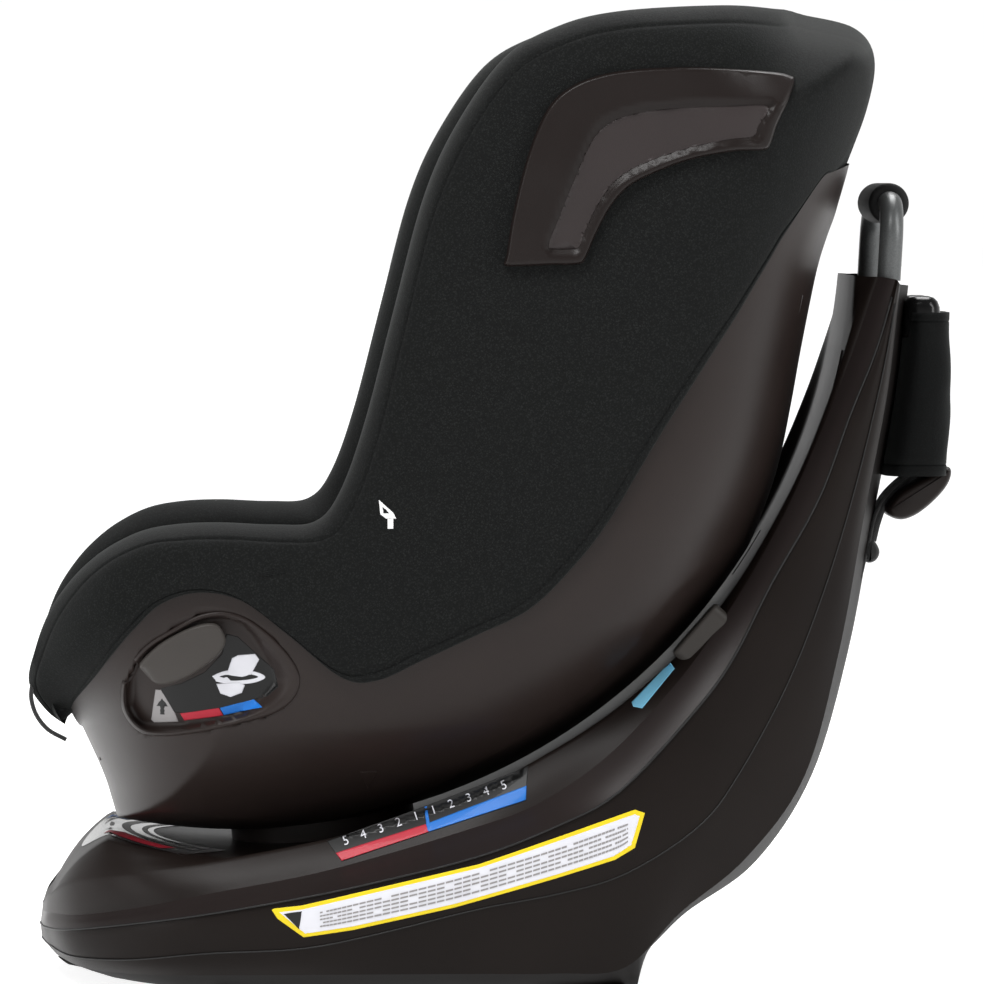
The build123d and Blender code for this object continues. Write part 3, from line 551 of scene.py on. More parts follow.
deck_centre, deck_middle, deck_inner = deck_row(2.0, 0.0), deck_row(2.0, 0.45), deck_row(3.0, 0.90)
upper_rows = base_rows([(deck_centre, deck_middle, 3, 0), (deck_middle, deck_inner, 3, 0),
                        (deck_inner, crest, 3, 0), (crest, bevel_top, 10, 1.0)])
bevel_rows = base_rows([(bevel_top, crease, 6, 0.8)])
lower_rows = base_rows([(crease, crease_low, 8, 1.5), (crease_low, foot_edge, 6, 1.5)])
under_rows = base_rows([(foot_edge, under_edge, 3, 0), (under_edge, back_line, 6, 0)])
upper_rows[0] = deck_centre
bevel_rows[0] = upper_rows[-1]
lower_rows[0] = bevel_rows[-1]
under_rows[0] = lower_rows[-1]
under_rows[-1] = back_line
base_upper = mirrored_grid("base_upper_skin", near_side(upper_rows), BASE_PLASTIC, "base",
                           "base_upper_cover")
# the bevel band's lighter plastic is a painted highlight
base_bevel = mirrored_grid("base_bevel_skin", near_side(bevel_rows), BEVEL_HIGHLIGHT_PLASTIC, "base")
# the lower body's darker plastic is painted shade
base_lower = mirrored_grid("base_lower_skin", near_side(lower_rows), LOWER_SHADE_PLASTIC, "base",
                           ["base_lower_shell", "spine_back_cover"])
# the underside's dark plastic is painted shade
mirrored_grid("base_underside_skin", near_side(under_rows), UNDERSIDE_SHADE_PLASTIC, "base")


# ---------------------------------------------------------------- plates, films and seams on a surface
SIDE_SPACING = 3.0                        # of the points along a straight side
RIM_SHARES = (0.0, 0.3, 0.7, 1.0, 1.8)    # of a plate's rounded edge, where rings of points lie


def closed_curve(points, per_span):
    """Evenly stepped closed smooth curve through outline points."""
    ring = spline([points[-1], *points, points[0], points[1]], per_span)
    return ring[per_span:-2 * per_span]


def straight_ring(points):
    """Closed outline with straight sides, as evenly spaced points."""
    ring = []
    for start, end in zip(np.array(points, float), np.roll(np.array(points, float), -1, 0)):
        count = max(1, int(np.linalg.norm(end - start) / SIDE_SPACING))
        ring += [start + (end - start) * step / count for step in range(count)]
    return np.array(ring)


def ring_area(ring):
    """Signed area of a closed outline."""
    after = np.roll(ring, -1, 0)
    return 0.5 * float((ring[:, 0] * after[:, 1] - after[:, 0] * ring[:, 1]).sum())


def counter_clockwise(ring):
    """The closed outline, turned round if it runs clockwise."""
    return ring if ring_area(ring) > 0 else ring[::-1]


def outline_ring(outline, level, curved=True):
    """A closed outline of the side elevation, brought to its place at a half width."""
    ring = counter_clockwise(closed_curve(outline, 6) if curved else straight_ring(outline))
    return np.array([elevation_point(x, z, level) for x, z in ring])


def inset_ring(ring, amount):
    """A counter-clockwise outline moved inwards by an amount."""
    tangent = np.roll(ring, -1, 0) - np.roll(ring, 1, 0)
    tangent /= np.linalg.norm(tangent, axis=1, keepdims=True)
    return ring + np.stack([-tangent[:, 1], tangent[:, 0]], 1) * amount


def depth_inside(points, ring):
    """Distance of points to an outline: positive inside it, negative outside."""
    points = np.array(points, float)
    start, end = ring, np.roll(ring, -1, 0)
    step = end - start
    gap = points[:, None, :] - start[None]
    t = np.clip((gap * step).sum(2) / (step ** 2).sum(1), 0, 1)
    distance = np.linalg.norm(gap - t[:, :, None] * step, axis=2).min(1)
    crosses = (start[:, 1] > points[:, 1:2]) != (end[:, 1] > points[:, 1:2])
    height = np.where(step[:, 1] == 0, 1e-9, step[:, 1])
    reach = start[:, 0] + (points[:, 1:2] - start[:, 1]) / height * step[:, 0]
    inside = (crosses & (points[:, 0:1] < reach)).sum(1) % 2 == 1
    return np.where(inside, distance, -distance)


def surface_of(*pieces):
    """Ray-casting tree of some pieces' meshes, in millimetres."""
    points, faces = [], []
    for piece in pieces:
        start = len(points)
        points += [vertex.co / MM for vertex in piece.data.vertices]
        faces += [[start + index for index in face.vertices] for face in piece.data.polygons]
    return BVHTree.FromPolygons(points, faces)


def side_depth(surface, x, z, fallback):
    """Half width at which a ray from the -Y side meets the surface."""
    hit = surface.ray_cast(Vector((x, -400, z)), Vector((0, 1, 0)))[0]
    return -hit.y if hit else fallback


def filled(ring, rims, spacing):
    """Triangles that fill an outline, with rings near its edge and an even lattice within."""
    loops = [inset_ring(ring, rim) for rim in rims]
    low, high = ring.min(0), ring.max(0)
    lattice = np.array([(x, z) for x in np.arange(low[0], high[0], spacing)
                        for z in np.arange(low[1], high[1], spacing)])
    keep = depth_inside(lattice, ring) > rims[-1] + spacing * 0.5 if len(lattice) else []
    points = [Vector(p) for loop in loops for p in loop] + [Vector(p) for p in lattice[keep]]
    count = len(ring)
    edges = [(i, (i + 1) % count) for i in range(count)]
    result = geometry.delaunay_2d_cdt(points, edges, [list(range(count))], 1, 1e-4)
    return np.array([tuple(p) for p in result[0]]), [list(face) for face in result[2]]


def plate(name, outline, surface, material, body, node=None, height=1.0, edge=1.0, spacing=4.0,
          level=200.0, drop=2.0, relief=None, curved=True, side=-1, slot=None):
    """A raised plate that follows a surface; relief(points) adds or takes away height."""
    ring = outline_ring(outline, level, curved)
    flat, faces = filled(ring, [edge * share for share in RIM_SHARES], spacing)
    depth = np.clip(depth_inside(flat, ring) / edge, 0, 1)
    rise = height * np.sqrt(np.clip(1 - (1 - depth) ** 2, 0, 1))
    if relief:
        rise = rise + relief(flat)
    fallback = side_depth(surface, *flat.mean(0), level)
    out = np.array([side_depth(surface, x, z, fallback) for x, z in flat])
    points = [(x, side * (y + h), z) for (x, z), y, h in zip(flat, out, rise)]
    rim = [int(np.linalg.norm(flat - p, axis=1).argmin()) for p in ring]
    start, count = len(points), len(rim)
    points += [(flat[i][0], side * (out[i] - drop), flat[i][1]) for i in rim]
    for i in range(count):
        j = (i + 1) % count
        faces.append([rim[j], rim[i], start + i, start + j])
    if side > 0:
        faces = [face[::-1] for face in faces]
    piece = add_mesh(name, points, faces, material, body, node)
    return piece


def both_sides(name, outline, surface, material, body, node=None, **settings):
    """The same plate on the left (-Y) and the right; {side} in the body's name is filled in."""
    pieces = []
    for side, word in ((-1, "left"), (1, "right")):
        pieces.append(plate(f"{name}_{word}", outline, surface, material, body.format(side=word),
                            f"{node}_{word}" if node else None, side=side, **settings))
    return pieces


def closed_loft(name, loops, material, body, node=None):
    """Skin over equally long closed loops, with its ends filled."""
    count = len(loops[0])
    points = [p for loop in loops for p in loop]
    faces = []
    for row in range(len(loops) - 1):
        for i in range(count):
            j = (i + 1) % count
            a, b = row * count, (row + 1) * count
            faces.append([a + i, a + j, b + j, b + i])
    faces += [list(range(count))[::-1], [len(points) - count + i for i in range(count)]]
    return add_mesh(name, points, faces, material, body, node)


def sweep(name, path, section, across, material, body, node=None, per_span=5):
    """A closed section carried along a smooth path; u runs along 'across', v off the strap."""
    line = spline(path, per_span)
    tangent = np.gradient(line, axis=0)
    tangent /= np.linalg.norm(tangent, axis=1, keepdims=True)
    side = np.broadcast_to(np.array(across, float), line.shape)
    side = side - (side * tangent).sum(1, keepdims=True) * tangent
    side /= np.linalg.norm(side, axis=1, keepdims=True)
    lift = np.cross(side, tangent)
    loops = [[p + s * u + n * v for u, v in section] for p, s, n in zip(line, side, lift)]
    return closed_loft(name, loops, material, body, node)


def superellipse(half_x, half_y, power, count=40):
    """Rounded rectangle outline about the origin."""
    result = []
    for i in range(count):
        angle = 2 * math.pi * i / count
        c, s = math.cos(angle), math.sin(angle)
        result.append((half_x * math.copysign(abs(c) ** (2 / power), c),
                       half_y * math.copysign(abs(s) ** (2 / power), s)))
    return result


def strap_section(width, thickness):
    """Flat webbing with rounded edges and a slightly raised selvedge."""
    half, t = width / 2, thickness / 2
    top = [(-half, 0), (-half + 0.5, t * 1.15), (-half + 2.5, t * 1.15), (-half + 3.2, t), (0, t),
           (half - 3.2, t), (half - 2.5, t * 1.15), (half - 0.5, t * 1.15), (half, 0)]
    return top + [(u, -v) for u, v in reversed(top[1:-1])]


def round_section(radius, count=8):
    """Round cord or rod."""
    angles = [2 * math.pi * i / count for i in range(count)]
    return [(radius * math.cos(angle), radius * math.sin(angle)) for angle in angles]


def lettering(name, text, place, size, tilt, surface, material, body, level, height=0.4):
    """A figure printed on the -Y side of a surface, with its centre at a place."""
    data = bpy.data.curves.new(name + "_outline", "FONT")
    data.body, data.size = text, 1.0
    data.align_x, data.align_y = "CENTER", "CENTER"
    holder = bpy.data.objects.new(name + "_outline", data)
    bpy.context.scene.collection.objects.link(holder)
    bpy.context.view_layer.update()
    mesh = bpy.data.meshes.new_from_object(holder.evaluated_get(bpy.context.evaluated_depsgraph_get()))
    bpy.data.objects.remove(holder)
    flat = [(place[0] + size * (v.co.x * math.cos(tilt) - v.co.y * math.sin(tilt)),
             place[1] + size * (v.co.x * math.sin(tilt) + v.co.y * math.cos(tilt))) for v in mesh.vertices]
    flat = [elevation_point(x, z, level) for x, z in flat]
    points = [(x, -(side_depth(surface, x, z, level) + height), z) for x, z in flat]
    return add_mesh(name, points, [list(face.vertices) for face in mesh.polygons], material, body)


# ---------------------------------------------------------------- side pods
# Levels are the half widths at which the outlines of a group lie.
POD_LEVEL, BEZEL_LEVEL, PANEL_LEVEL, MARK_LEVEL = 212, 204, 200, 206
POD = [
    (8, 492), (10, 500), (14, 525), (21, 555), (29, 580), (40, 602), (55, 615), (76, 623), (104, 627),
    (146, 628), (192, 625.5), (207, 623), (210.5, 619), (205, 605), (197, 588), (192, 574), (186, 571),
    (165, 570), (135, 564), (109, 554), (93, 545), (81, 531), (71, 512), (64, 496), (58, 492.5), (39, 492),
    (12, 491)]
POD_RECESS = [
    (36, 500), (42, 522), (50, 543), (61, 571), (71, 588), (89, 598), (117, 603), (161, 605.5),
    (196, 605.5), (190, 590), (184, 576), (165, 574.5), (135, 568), (107, 558.5), (90, 549), (77, 534),
    (67, 515), (59, 499)]
POD_FLOOR = [
    (39, 503), (46, 525), (54, 545), (65, 570), (75, 585), (91, 594), (118, 599), (161, 601), (190, 601),
    (184, 588), (180, 580.5), (164, 578.5), (134, 572), (105, 562), (87, 552), (74, 536), (65, 518),
    (58, 503)]
pod_recess = outline_ring(POD_RECESS, POD_LEVEL)


def smooth(t):
    """Smooth step from 0 to 1."""
    t = np.clip(t, 0, 1)
    return t * t * (3 - 2 * t)


def pod_relief(points):
    """Shallow dished recess of a pod."""
    return -4.2 * smooth(depth_inside(points, pod_recess) / 4.0)


cover_surface = surface_of(cover)
pods = both_sides("side_pod_skin", POD, cover_surface, POD_PLASTIC, "seat", "side_pod", height=6.0, edge=2.2,
                  spacing=3.0, level=POD_LEVEL, drop=3.0, relief=pod_relief, slot="shell_plastic")
both_sides("pod_floor", POD_FLOOR, surface_of(*pods), RECESS_PLASTIC, "seat", height=0.35, edge=1.5,
           spacing=3.0, level=POD_LEVEL, drop=0.1)

# ---------------------------------------------------------------- turn button in its basin
BEZEL = [
    (-255, 204), (-256, 186), (-251, 174), (-241, 166), (-226, 165), (-205, 168), (-175, 175), (-151, 182),
    (-137, 192), (-132, 205), (-136, 218), (-148, 233), (-163, 246), (-175, 252), (-188, 254), (-203, 251),
    (-220, 242), (-236, 232), (-247, 220)]
BUTTON = [
    (-242.5, 213.5), (-240.4, 220.2), (-227.6, 232.3), (-211.0, 241.4), (-197.8, 245.6), (-189.2, 244.9),
    (-184.4, 238.2), (-183.5, 231.6), (-188.6, 223.1), (-201.0, 213.2), (-212.8, 206.1), (-225.1, 202.3),
    (-233.8, 204.1)]
BASIN_DEPTH = 12.7                        # from the bezel's face to the basin's floor
SHELL_SINK = 24.0
bezel_ring = outline_ring(BEZEL, BEZEL_LEVEL)
shell_surface = surface_of(shell, cover)


def basin_relief(points):
    """Basin within the bezel's rolled edge; its wall is broad towards the rear."""
    depth = depth_inside(points, bezel_ring)
    broad = 3.2 + 18.0 * smooth((points[:, 0] + 180) / 40)
    return -BASIN_DEPTH * smooth((depth - 2.6) / broad)


def sink_shell():
    """Push the shell in behind the basins, so that it doesn't come through their floors."""
    for vertex in shell.data.vertices:
        x, y, z = vertex.co / MM
        if abs(y) > 120 and -260 < x < -125 and 160 < z < 258:
            if depth_inside([(x, z)], bezel_ring)[0] > 3.6:
                vertex.co.y -= math.copysign(SHELL_SINK * MM, y)


basins = both_sides("rotate_bezel_skin", BEZEL, shell_surface, SHELL_PLASTIC, "seat", "rotate_bezel",
                    height=1.4, edge=2.4, spacing=2.5, level=BEZEL_LEVEL, drop=2.5, relief=basin_relief,
                    slot="shell_plastic")
sink_shell()
both_sides("rotate_button_cap", BUTTON, shell_surface, GREY_PLASTIC, "rotate_button_{side}", "rotate_button",
           height=3.2, edge=2.6, spacing=3.0, level=BEZEL_LEVEL, drop=0.5, slot="grey_plastic")
basin_surface = surface_of(basins[0])


def film(name, outline, surface, material, body, level, height, curved=False):
    """A thin printed film on the -Y side of a surface."""
    plate(name, outline, surface, material, body, height=height, edge=0.5, spacing=3.0, level=level,
          drop=0.1, curved=curved)


# Films in the left basin, from the lowest to the highest: name, material, height, curved, outline.
BASIN_FILMS = [
    ("bezel_panel", GLOSS_BLACK, 0.25, False,
     [(-218, 182), (-205, 181), (-155, 194), (-147, 201), (-150, 213), (-175, 236), (-183, 238), (-186, 224),
      (-198, 211), (-214, 203), (-228, 199), (-226, 190)]),
    ("red_strip", RED_FILM, 0.6, False, [(-215, 181.5), (-212, 176.5), (-185, 180.5), (-188, 186)]),
    ("blue_strip", BLUE_FILM, 0.6, False, [(-187.5, 186), (-184.5, 180.7), (-158, 187), (-164, 192)]),
    ("push_sign", GREY_FILM, 0.6, False,
     [(-235, 176), (-233, 174), (-216, 175.5), (-218, 181), (-228, 198), (-232, 198)]),
    ("push_arrow", BLACK_FILM, 0.9, False,
     [(-229, 180), (-225.5, 180), (-225.5, 186), (-222.5, 186), (-227.5, 192), (-232, 186), (-229, 186)]),
    ("turn_sign_ring", WHITE_FILM, 0.6, True,
     [(-193, 208), (-184, 212), (-172, 213), (-160, 210.5), (-156, 207), (-164, 203.5), (-178, 202.5),
      (-190, 204.5)]),
    ("turn_sign_gap", GLOSS_BLACK, 0.8, True,
     [(-188, 207.8), (-180, 210), (-172, 210.6), (-163, 209), (-161, 207.3), (-168, 205.6), (-180, 205)]),
    ("turn_sign_back", WHITE_FILM, 1.0, False,
     [(-183, 209), (-179, 221), (-175, 223), (-163, 224), (-160, 220), (-166, 209), (-172, 207.5)]),
    ("turn_sign_shell", WHITE_FILM, 1.0, False,
     [(-190, 203), (-187, 196), (-180, 193.5), (-172, 196.5), (-170, 202), (-174, 204), (-184, 203.5)]),
]
for name, material, height, curved, outline in BASIN_FILMS:
    film(name, outline, basin_surface, material, "seat", PANEL_LEVEL, height, curved)

# marks on the cover: an outlined buckle and the slit of a strap pocket
for name, material, height, outline in (
        ("belt_mark", WHITE_THREAD, 0.5, [(-78, 331), (-68, 322), (-66, 318), (-73, 318), (-77, 321)]),
        ("belt_mark_gap", PIPING, 0.8, [(-76, 328), (-70.5, 321.5), (-75, 321.5)]),
        ("belt_mark_tongue", WHITE_THREAD, 0.5, [(-72, 318), (-68, 318), (-68, 311), (-72, 311)])):
    film(name, outline, cover_surface, material, "seat", MARK_LEVEL, height)
POCKET_SLIT = [(-159, 281), (-142, 284), (-142, 281), (-159, 278)]
for side in (-1, 1):
    plate(f"pocket_slit_{side + 1}", POCKET_SLIT, cover_surface, PIPING, "seat", height=0.8, edge=0.7,
          spacing=5.0, level=MARK_LEVEL, drop=0.2, curved=False, side=side)
both_sides("shell_mark", [(-90, 139), (-78, 139), (-84, 125)], shell_surface, SHELL_PLASTIC, "seat",
           height=0.8, edge=0.8, spacing=3.0, level=PANEL_LEVEL, drop=0.3, curved=False)


# ---------------------------------------------------------------- marks and films on the base
SCALE_LEVEL, LABEL_LEVEL, TAG_LEVEL = 148, 198, 150
base_surface = surface_of(base_upper, base_bevel, base_lower)
SCALE = [(-114, 96), (-60, 115), (25, 147), (24, 136), (23, 124), (-40, 104), (-104, 83)]
scale = plate("scale_plate", SCALE, base_surface, BLACK_FILM, "base", "position_scales", height=0.6,
              edge=0.6, spacing=2.0, level=SCALE_LEVEL, drop=0.1, curved=False)
scale_surface = surface_of(scale)
for name, material, height, outline in (
        ("scale_red", RED_FILM, 0.35, [(-108, 88.5), (-46, 108), (-44, 103), (-104, 83.5)]),
        ("scale_blue", BLUE_FILM, 0.35, [(-46, 108), (23.5, 134), (23, 124.5), (-44, 103)]),
        ("scale_blue_edge", BLUE_FILM, 0.4, [(-47, 119.5), (-45, 120), (-42.5, 104), (-45, 103.5)])):
    film(name, outline, scale_surface, material, "base", SCALE_LEVEL, height)
FIGURE_START, FIGURE_STEP, FIGURE_RISE = (-101, 96.5), (12.1, 4.1), 0.008
FIGURE_SIZE, FIGURE_TILT = 8.5, 0.33
for index, figure in enumerate("5432112345"):
    spot = (FIGURE_START[0] + FIGURE_STEP[0] * index,
            FIGURE_START[1] + FIGURE_STEP[1] * index + FIGURE_RISE * index ** 2)
    lettering(f"scale_figure_{index}", figure, spot, FIGURE_SIZE, FIGURE_TILT, scale_surface, WHITE_FILM,
              "base", SCALE_LEVEL, 0.6)

SIDE_LABEL = [
    (-152, 48), (-148, 42), (-130, 29), (-96, 34), (-26, 49), (44, 68), (86, 80), (100, 88), (107, 112),
    (100, 114.5), (-9, 79), (-132, 51), (-150, 49)]
LABEL_INNER = [
    (-147, 46.5), (-129, 31.5), (-96, 36.5), (-26, 51.5), (44, 70.5), (85, 82.5), (97.5, 90), (103.5, 110),
    (100, 111.5), (-9, 76.5), (-131, 48.5)]
for side in (-1, 1):
    for name, outline, material, height in (("edge", SIDE_LABEL, YELLOW_FILM, 0.35),
                                            ("face", LABEL_INNER, WHITE_FILM, 0.6)):
        plate(f"side_label_{name}_{side + 1}", outline, base_surface, material, "base",
              "side_labels" if name == "edge" and side < 0 else None, height=height, edge=0.5, spacing=6.0,
              level=LABEL_LEVEL, drop=0.1, curved=False, side=side)
# Lower and upper limit of the small print.
LABEL_LOW = [(-128, 33), (-96, 38), (-26, 53), (44, 72), (84, 84), (97, 91)]
LABEL_HIGH = [(-128, 46.5), (-96, 54), (-26, 71), (44, 91), (84, 104), (97, 108)]
DASH_LENGTH, DASH_HEIGHT = 0.86, 0.42     # shares of a step along the label and of a row
FIRST_ROW, PRINT_LIFT = 0.8, 0.8


def greeked_rows(name, rows, side):
    """Grey dashes that stand for small print, in rows along the label."""
    low, high = spline(LABEL_LOW, 12), spline(LABEL_HIGH, 12)
    points, faces = [], []
    for row in range(rows):
        for index in range(4, len(low) - 3):
            word_gap = row > 0 and (index * 7 + row * 5) % 11 == 0
            if word_gap:
                continue
            for along, up in ((0, 0), (DASH_LENGTH, 0), (DASH_LENGTH, DASH_HEIGHT), (0, DASH_HEIGHT)):
                part = (row + up + FIRST_ROW) / (rows + 1)
                start = low[index] + (high[index] - low[index]) * part
                after = low[index + 1] + (high[index + 1] - low[index + 1]) * part
                x, z = elevation_point(*(start + (after - start) * along), LABEL_LEVEL)
                points.append((x, side * (side_depth(base_surface, x, z, LABEL_LEVEL) + PRINT_LIFT), z))
            faces.append([len(points) - 4 + i for i in (range(4) if side < 0 else range(3, -1, -1))])
    add_mesh(name, points, faces, GREY_FILM, "base")


LABEL_SIGN = [(-144, 45.5), (-133, 34.5), (-131, 47.5)]
for side in (-1, 1):
    greeked_rows(f"small_print_{side + 1}", 5, side)
    plate(f"label_sign_{side + 1}", LABEL_SIGN, base_surface, BLACK_FILM, "base", height=0.9, edge=0.4,
          spacing=4.0, level=LABEL_LEVEL, drop=0.1, curved=False, side=side)
tags = both_sides("belt_tag", [(124, 217), (127, 213), (104, 186), (98, 187), (97, 190)], base_surface,
                  PALE_BLUE_FILM, "base", height=0.8, edge=0.6, spacing=4.0, level=TAG_LEVEL, drop=0.3,
                  curved=False)
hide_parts("belt_path_tags")

# glossy quarter-ring label on the deck, with a red and a blue field
TURN_FOOT_X = -117.9                      # where the turning axis meets the deck
DROP_HEIGHT, NO_DECK = 160.0, 100.0       # from where the film drops, and where it stays if nothing is hit
FILM_RINGS, FILM_SPOKES = 9, 40


def deck_film(name, inner, outer, start, end, material, lift, node=None):
    """A sector of film about the turning axis, laid on the deck from above."""
    rows = []
    for radius in np.linspace(inner, outer, FILM_RINGS):
        row = []
        for angle in np.radians(np.linspace(start, end, FILM_SPOKES)):
            x, y = TURN_FOOT_X + radius * math.cos(angle), radius * math.sin(angle)
            hit = base_surface.ray_cast(Vector((x, y, DROP_HEIGHT)), Vector((0, 0, -1)))[0]
            row.append((x, y, (hit.z if hit else NO_DECK) + lift))
        rows.append(row)
    points = np.array(rows).reshape(-1, 3)
    add_mesh(name, points, grid_faces(FILM_RINGS, FILM_SPOKES), material, "base", node)


deck_film("deck_film", 118, 168, 125, 235, DARK_FILM, 0.4, "deck_label")
deck_film("deck_film_ring", 122, 126, 130, 230, GREY_FILM, 0.6)
deck_film("deck_film_arc", 134, 140, 130, 230, GREY_FILM, 0.6)
deck_film("deck_film_red", 146, 162, 200, 226, RED_FILM, 0.7)
deck_film("deck_film_blue", 146, 162, 134, 160, BLUE_FILM, 0.7)


# ---------------------------------------------------------------- top anchor on the back
# Height and x of the spine's back, behind the stowed sleeve.
SPINE_BACK = [(344, 270.5), (380, 276.5), (420, 282.5), (458, 286.5)]


def sleeve():
    """Soft sleeve round the two stowed connectors: hem bands, pulled-in ends and slack folds."""
    back_heights, back_xs = zip(*SPINE_BACK)
    stations = [(344.5, 0.93), (344, 1.0), (351, 1.0), (351.6, 0.965), (352.4, 1.0)]
    stations += [(z, 1.0) for z in np.linspace(360, 444, 22)]
    stations += [(450.4, 1.0), (451.2, 0.965), (452, 1.0), (457.4, 1.0), (457, 0.93)]
    loops = []
    for z, share in stations:
        near = float(np.interp(z, back_heights, back_xs)) + 0.8
        far = 316.5 + 2.0 * math.sin((z - 352) / 40)
        loop = []
        for x, y in superellipse((far - near) / 2 * share, 41.5 * share, 3.4):
            fold = noise.noise(Vector((x * 0.05, y * 0.05, z * 0.035))) * 1.6
            loop.append(((near + far) / 2 + x + (fold * 0.7 if x > 0 else 0), y * (0.985 + 0.012 * fold), z))
        loops.append(loop)
    return closed_loft("anchor_sleeve_skin", loops, PIPING, "base", "anchor_sleeve")


CONNECTOR_X, CONNECTOR_Y = 297.5, 19


def connector(side):
    """Rounded glossy head of one stowed connector."""
    loops = []
    for z, share in ((440, 1), (456, 1), (461, 0.97), (465, 0.86), (467.6, 0.66), (468.8, 0.35)):
        loops.append([(CONNECTOR_X + x * share, CONNECTOR_Y * side + y * share, z)
                      for x, y in superellipse(13.2, 15.5, 2.6)])
    return closed_loft(f"connector_head_{side + 1}", loops, GLOSS_BLACK, "base",
                       "anchor_connectors" if side < 0 else None)


for side in (-1, 1):
    connector(side)
anchor_sleeve = sleeve()
ADJUSTER = [
    (273.5, 323), (275.5, 316), (284, 313), (293, 315.5), (302, 321.5), (311, 330), (317, 338),
    (319.3, 345.5), (317.5, 349.5), (311, 349), (301, 344), (290, 338), (280, 331)]
FLAT_SHARE = 0.6                          # of a slab's half thickness, before its rim is rounded


def thick_slab(name, outline, half, round_edge, material, body, node=None):
    """A side-view outline given thickness across, with rounded rims."""
    ring = counter_clockwise(closed_curve(outline, 5))
    loops = []
    for share in (-1, -0.96, -0.85, -FLAT_SHARE, 0, FLAT_SHARE, 0.85, 0.96, 1):
        past_flat = max(0.0, (abs(share) - FLAT_SHARE) / 0.4)
        inset = round_edge * (1 - math.sqrt(max(0.0, 1 - past_flat ** 2)))
        loops.append([(x, share * half, z) for x, z in inset_ring(ring, inset)][::-1])
    return closed_loft(name, loops, material, body, node)


hook = thick_slab("anchor_adjuster_skin", ADJUSTER, 23.5, 4.0, BASE_PLASTIC, "base", "anchor_adjuster")
ANCHOR_PATH = [
    (291, 0, 345), (281, 0, 337), (272, 0, 327), (266, 0, 314), (262.5, 0, 298), (259, 0, 284),
    (256, 0, 272), (249.5, 0, 254)]
strap = sweep("anchor_strap_skin", ANCHOR_PATH, strap_section(25, 2.2), (0, 1, 0), WEBBING, "base",
              "anchor_strap")
sweep("anchor_strap_layer", [(297, 1, 347), (285, 1, 338), (274, 0, 327), (268, 0, 312), (264.5, 0, 298)],
      strap_section(24, 5.0), (0, 1, 0), WEBBING, "base")
thick_slab("anchor_strap_fold", [(261, 283), (267, 284), (270, 290), (267, 297), (262, 298), (258.5, 290)],
           13, 3.0, WEBBING, "base")

# thin dark joint lines along the two creases
for side in (-1, 1):
    for name, line, radius in (("crease", crease, 0.75), ("crease_low", crease_low, 0.5)):
        path = (line + np.array([0, 0.35, 0.0])) * np.array([1, side, 1])
        sweep(f"{name}_line_{side + 1}", path[::3], round_section(radius, 6), (0, 0, 1), BLACK_FILM, "base",
              per_span=2)


# ---------------------------------------------------------------- padding inside the seat
BACK_ORIGIN = np.array([15.0, 0.0, 258.0])
BACK_UP, BACK_OUT = np.array([0.392, 0.0, 0.920]), np.array([-0.920, 0.0, 0.392])


def on_back(y, up, out):
    """Point of the backrest: across, up the back and out of it."""
    return tuple(BACK_ORIGIN + BACK_UP * up + BACK_OUT * out + np.array([0, y, 0]))


TUCK_START, TUCK_REACH, TUCK = -215.0, 80.0, 0.24   # the seat pad narrows towards the front
CLOTH_FRAMES = 20


def blow_up(piece):
    cloth = piece.modifiers.new("cloth", "CLOTH")
    cloth.settings.use_pressure = True
    cloth.settings.uniform_pressure_force = 4.0
    cloth.settings.effector_weights.gravity = 0.0
    cloth.settings.quality = 4
    cloth.settings.mass = 0.3
    for step in range(1, CLOTH_FRAMES + 1):
        bpy.context.scene.frame_set(step)
    depsgraph = bpy.context.evaluated_depsgraph_get()
    blown = np.array([tuple(v.co) for v in piece.evaluated_get(depsgraph).to_mesh().vertices])
    piece.modifiers.clear()
    bpy.context.scene.frame_set(1)
    return blown


def soft_pad(name, node, body, voxel, shrink, cap, seams, replaced=(), tucked=False):
    """A CAD pad blown up as cloth, by no more than a cap, then sewn down along its seams."""
    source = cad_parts[node]
    mesh = source.data.copy()
    mesh.transform(source.matrix_world)
    mesh.materials.clear()
    mesh.materials.append(PAD_FABRIC)
    piece = bpy.data.objects.new(name, mesh)
    bpy.context.scene.collection.objects.link(piece)
    remesh = piece.modifiers.new("remesh", "REMESH")
    remesh.mode = "VOXEL"
    remesh.voxel_size = voxel * MM
    soften = piece.modifiers.new("soften", "SMOOTH")
    soften.iterations = 6
    shrunk = piece.modifiers.new("shrink", "DISPLACE")
    shrunk.strength = -shrink * MM
    shrunk.mid_level = 0
    apply_modifiers(piece)
    start = np.array([tuple(v.co) for v in piece.data.vertices])
    move = blow_up(piece) - start
    length = np.linalg.norm(move, axis=1, keepdims=True)
    blown = start + move * np.minimum(1.0, cap * MM / np.maximum(length, 1e-9))
    for vertex, place in zip(piece.data.vertices, blown):
        vertex.co = place
    refine = piece.modifiers.new("refine", "SUBSURF")
    refine.levels = refine.render_levels = 1
    apply_modifiers(piece)
    normals = [vertex.normal.copy() for vertex in piece.data.vertices]
    for vertex, normal in zip(piece.data.vertices, normals):
        x, y, z = vertex.co / MM
        vertex.co -= normal * seams(x, y, z) * MM
        if tucked and x < TUCK_START:
            vertex.co.y *= 1 - TUCK * float(smooth((TUCK_START - x) / TUCK_REACH))
    piece.data.shade_smooth()
    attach(piece, body)
    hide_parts(node, *replaced)


def groove(distance, width, depth):
    """Depth of a sewn groove at a distance from its line."""
    return depth * math.exp(-(distance / width) ** 2)


def back_seams(x, y, z):
    """Two long panel seams up the back and two cross seams."""
    up = float(np.dot(np.array([x, y, z]) - BACK_ORIGIN, BACK_UP))
    cross = min(abs(up - 118), abs(up - 226))
    return groove(abs(y) - 88, 3.2, 3.4) + (groove(cross, 3.2, 2.4) if abs(y) < 88 else 0)


def seat_seams(x, y, z):
    """Long panel seams and two cross seams."""
    cross = min(abs(x + 110), abs(x + 205))
    return groove(abs(y) - 84, 3.2, 3.0) + (groove(cross, 3.2, 2.2) if abs(y) < 84 else 0)


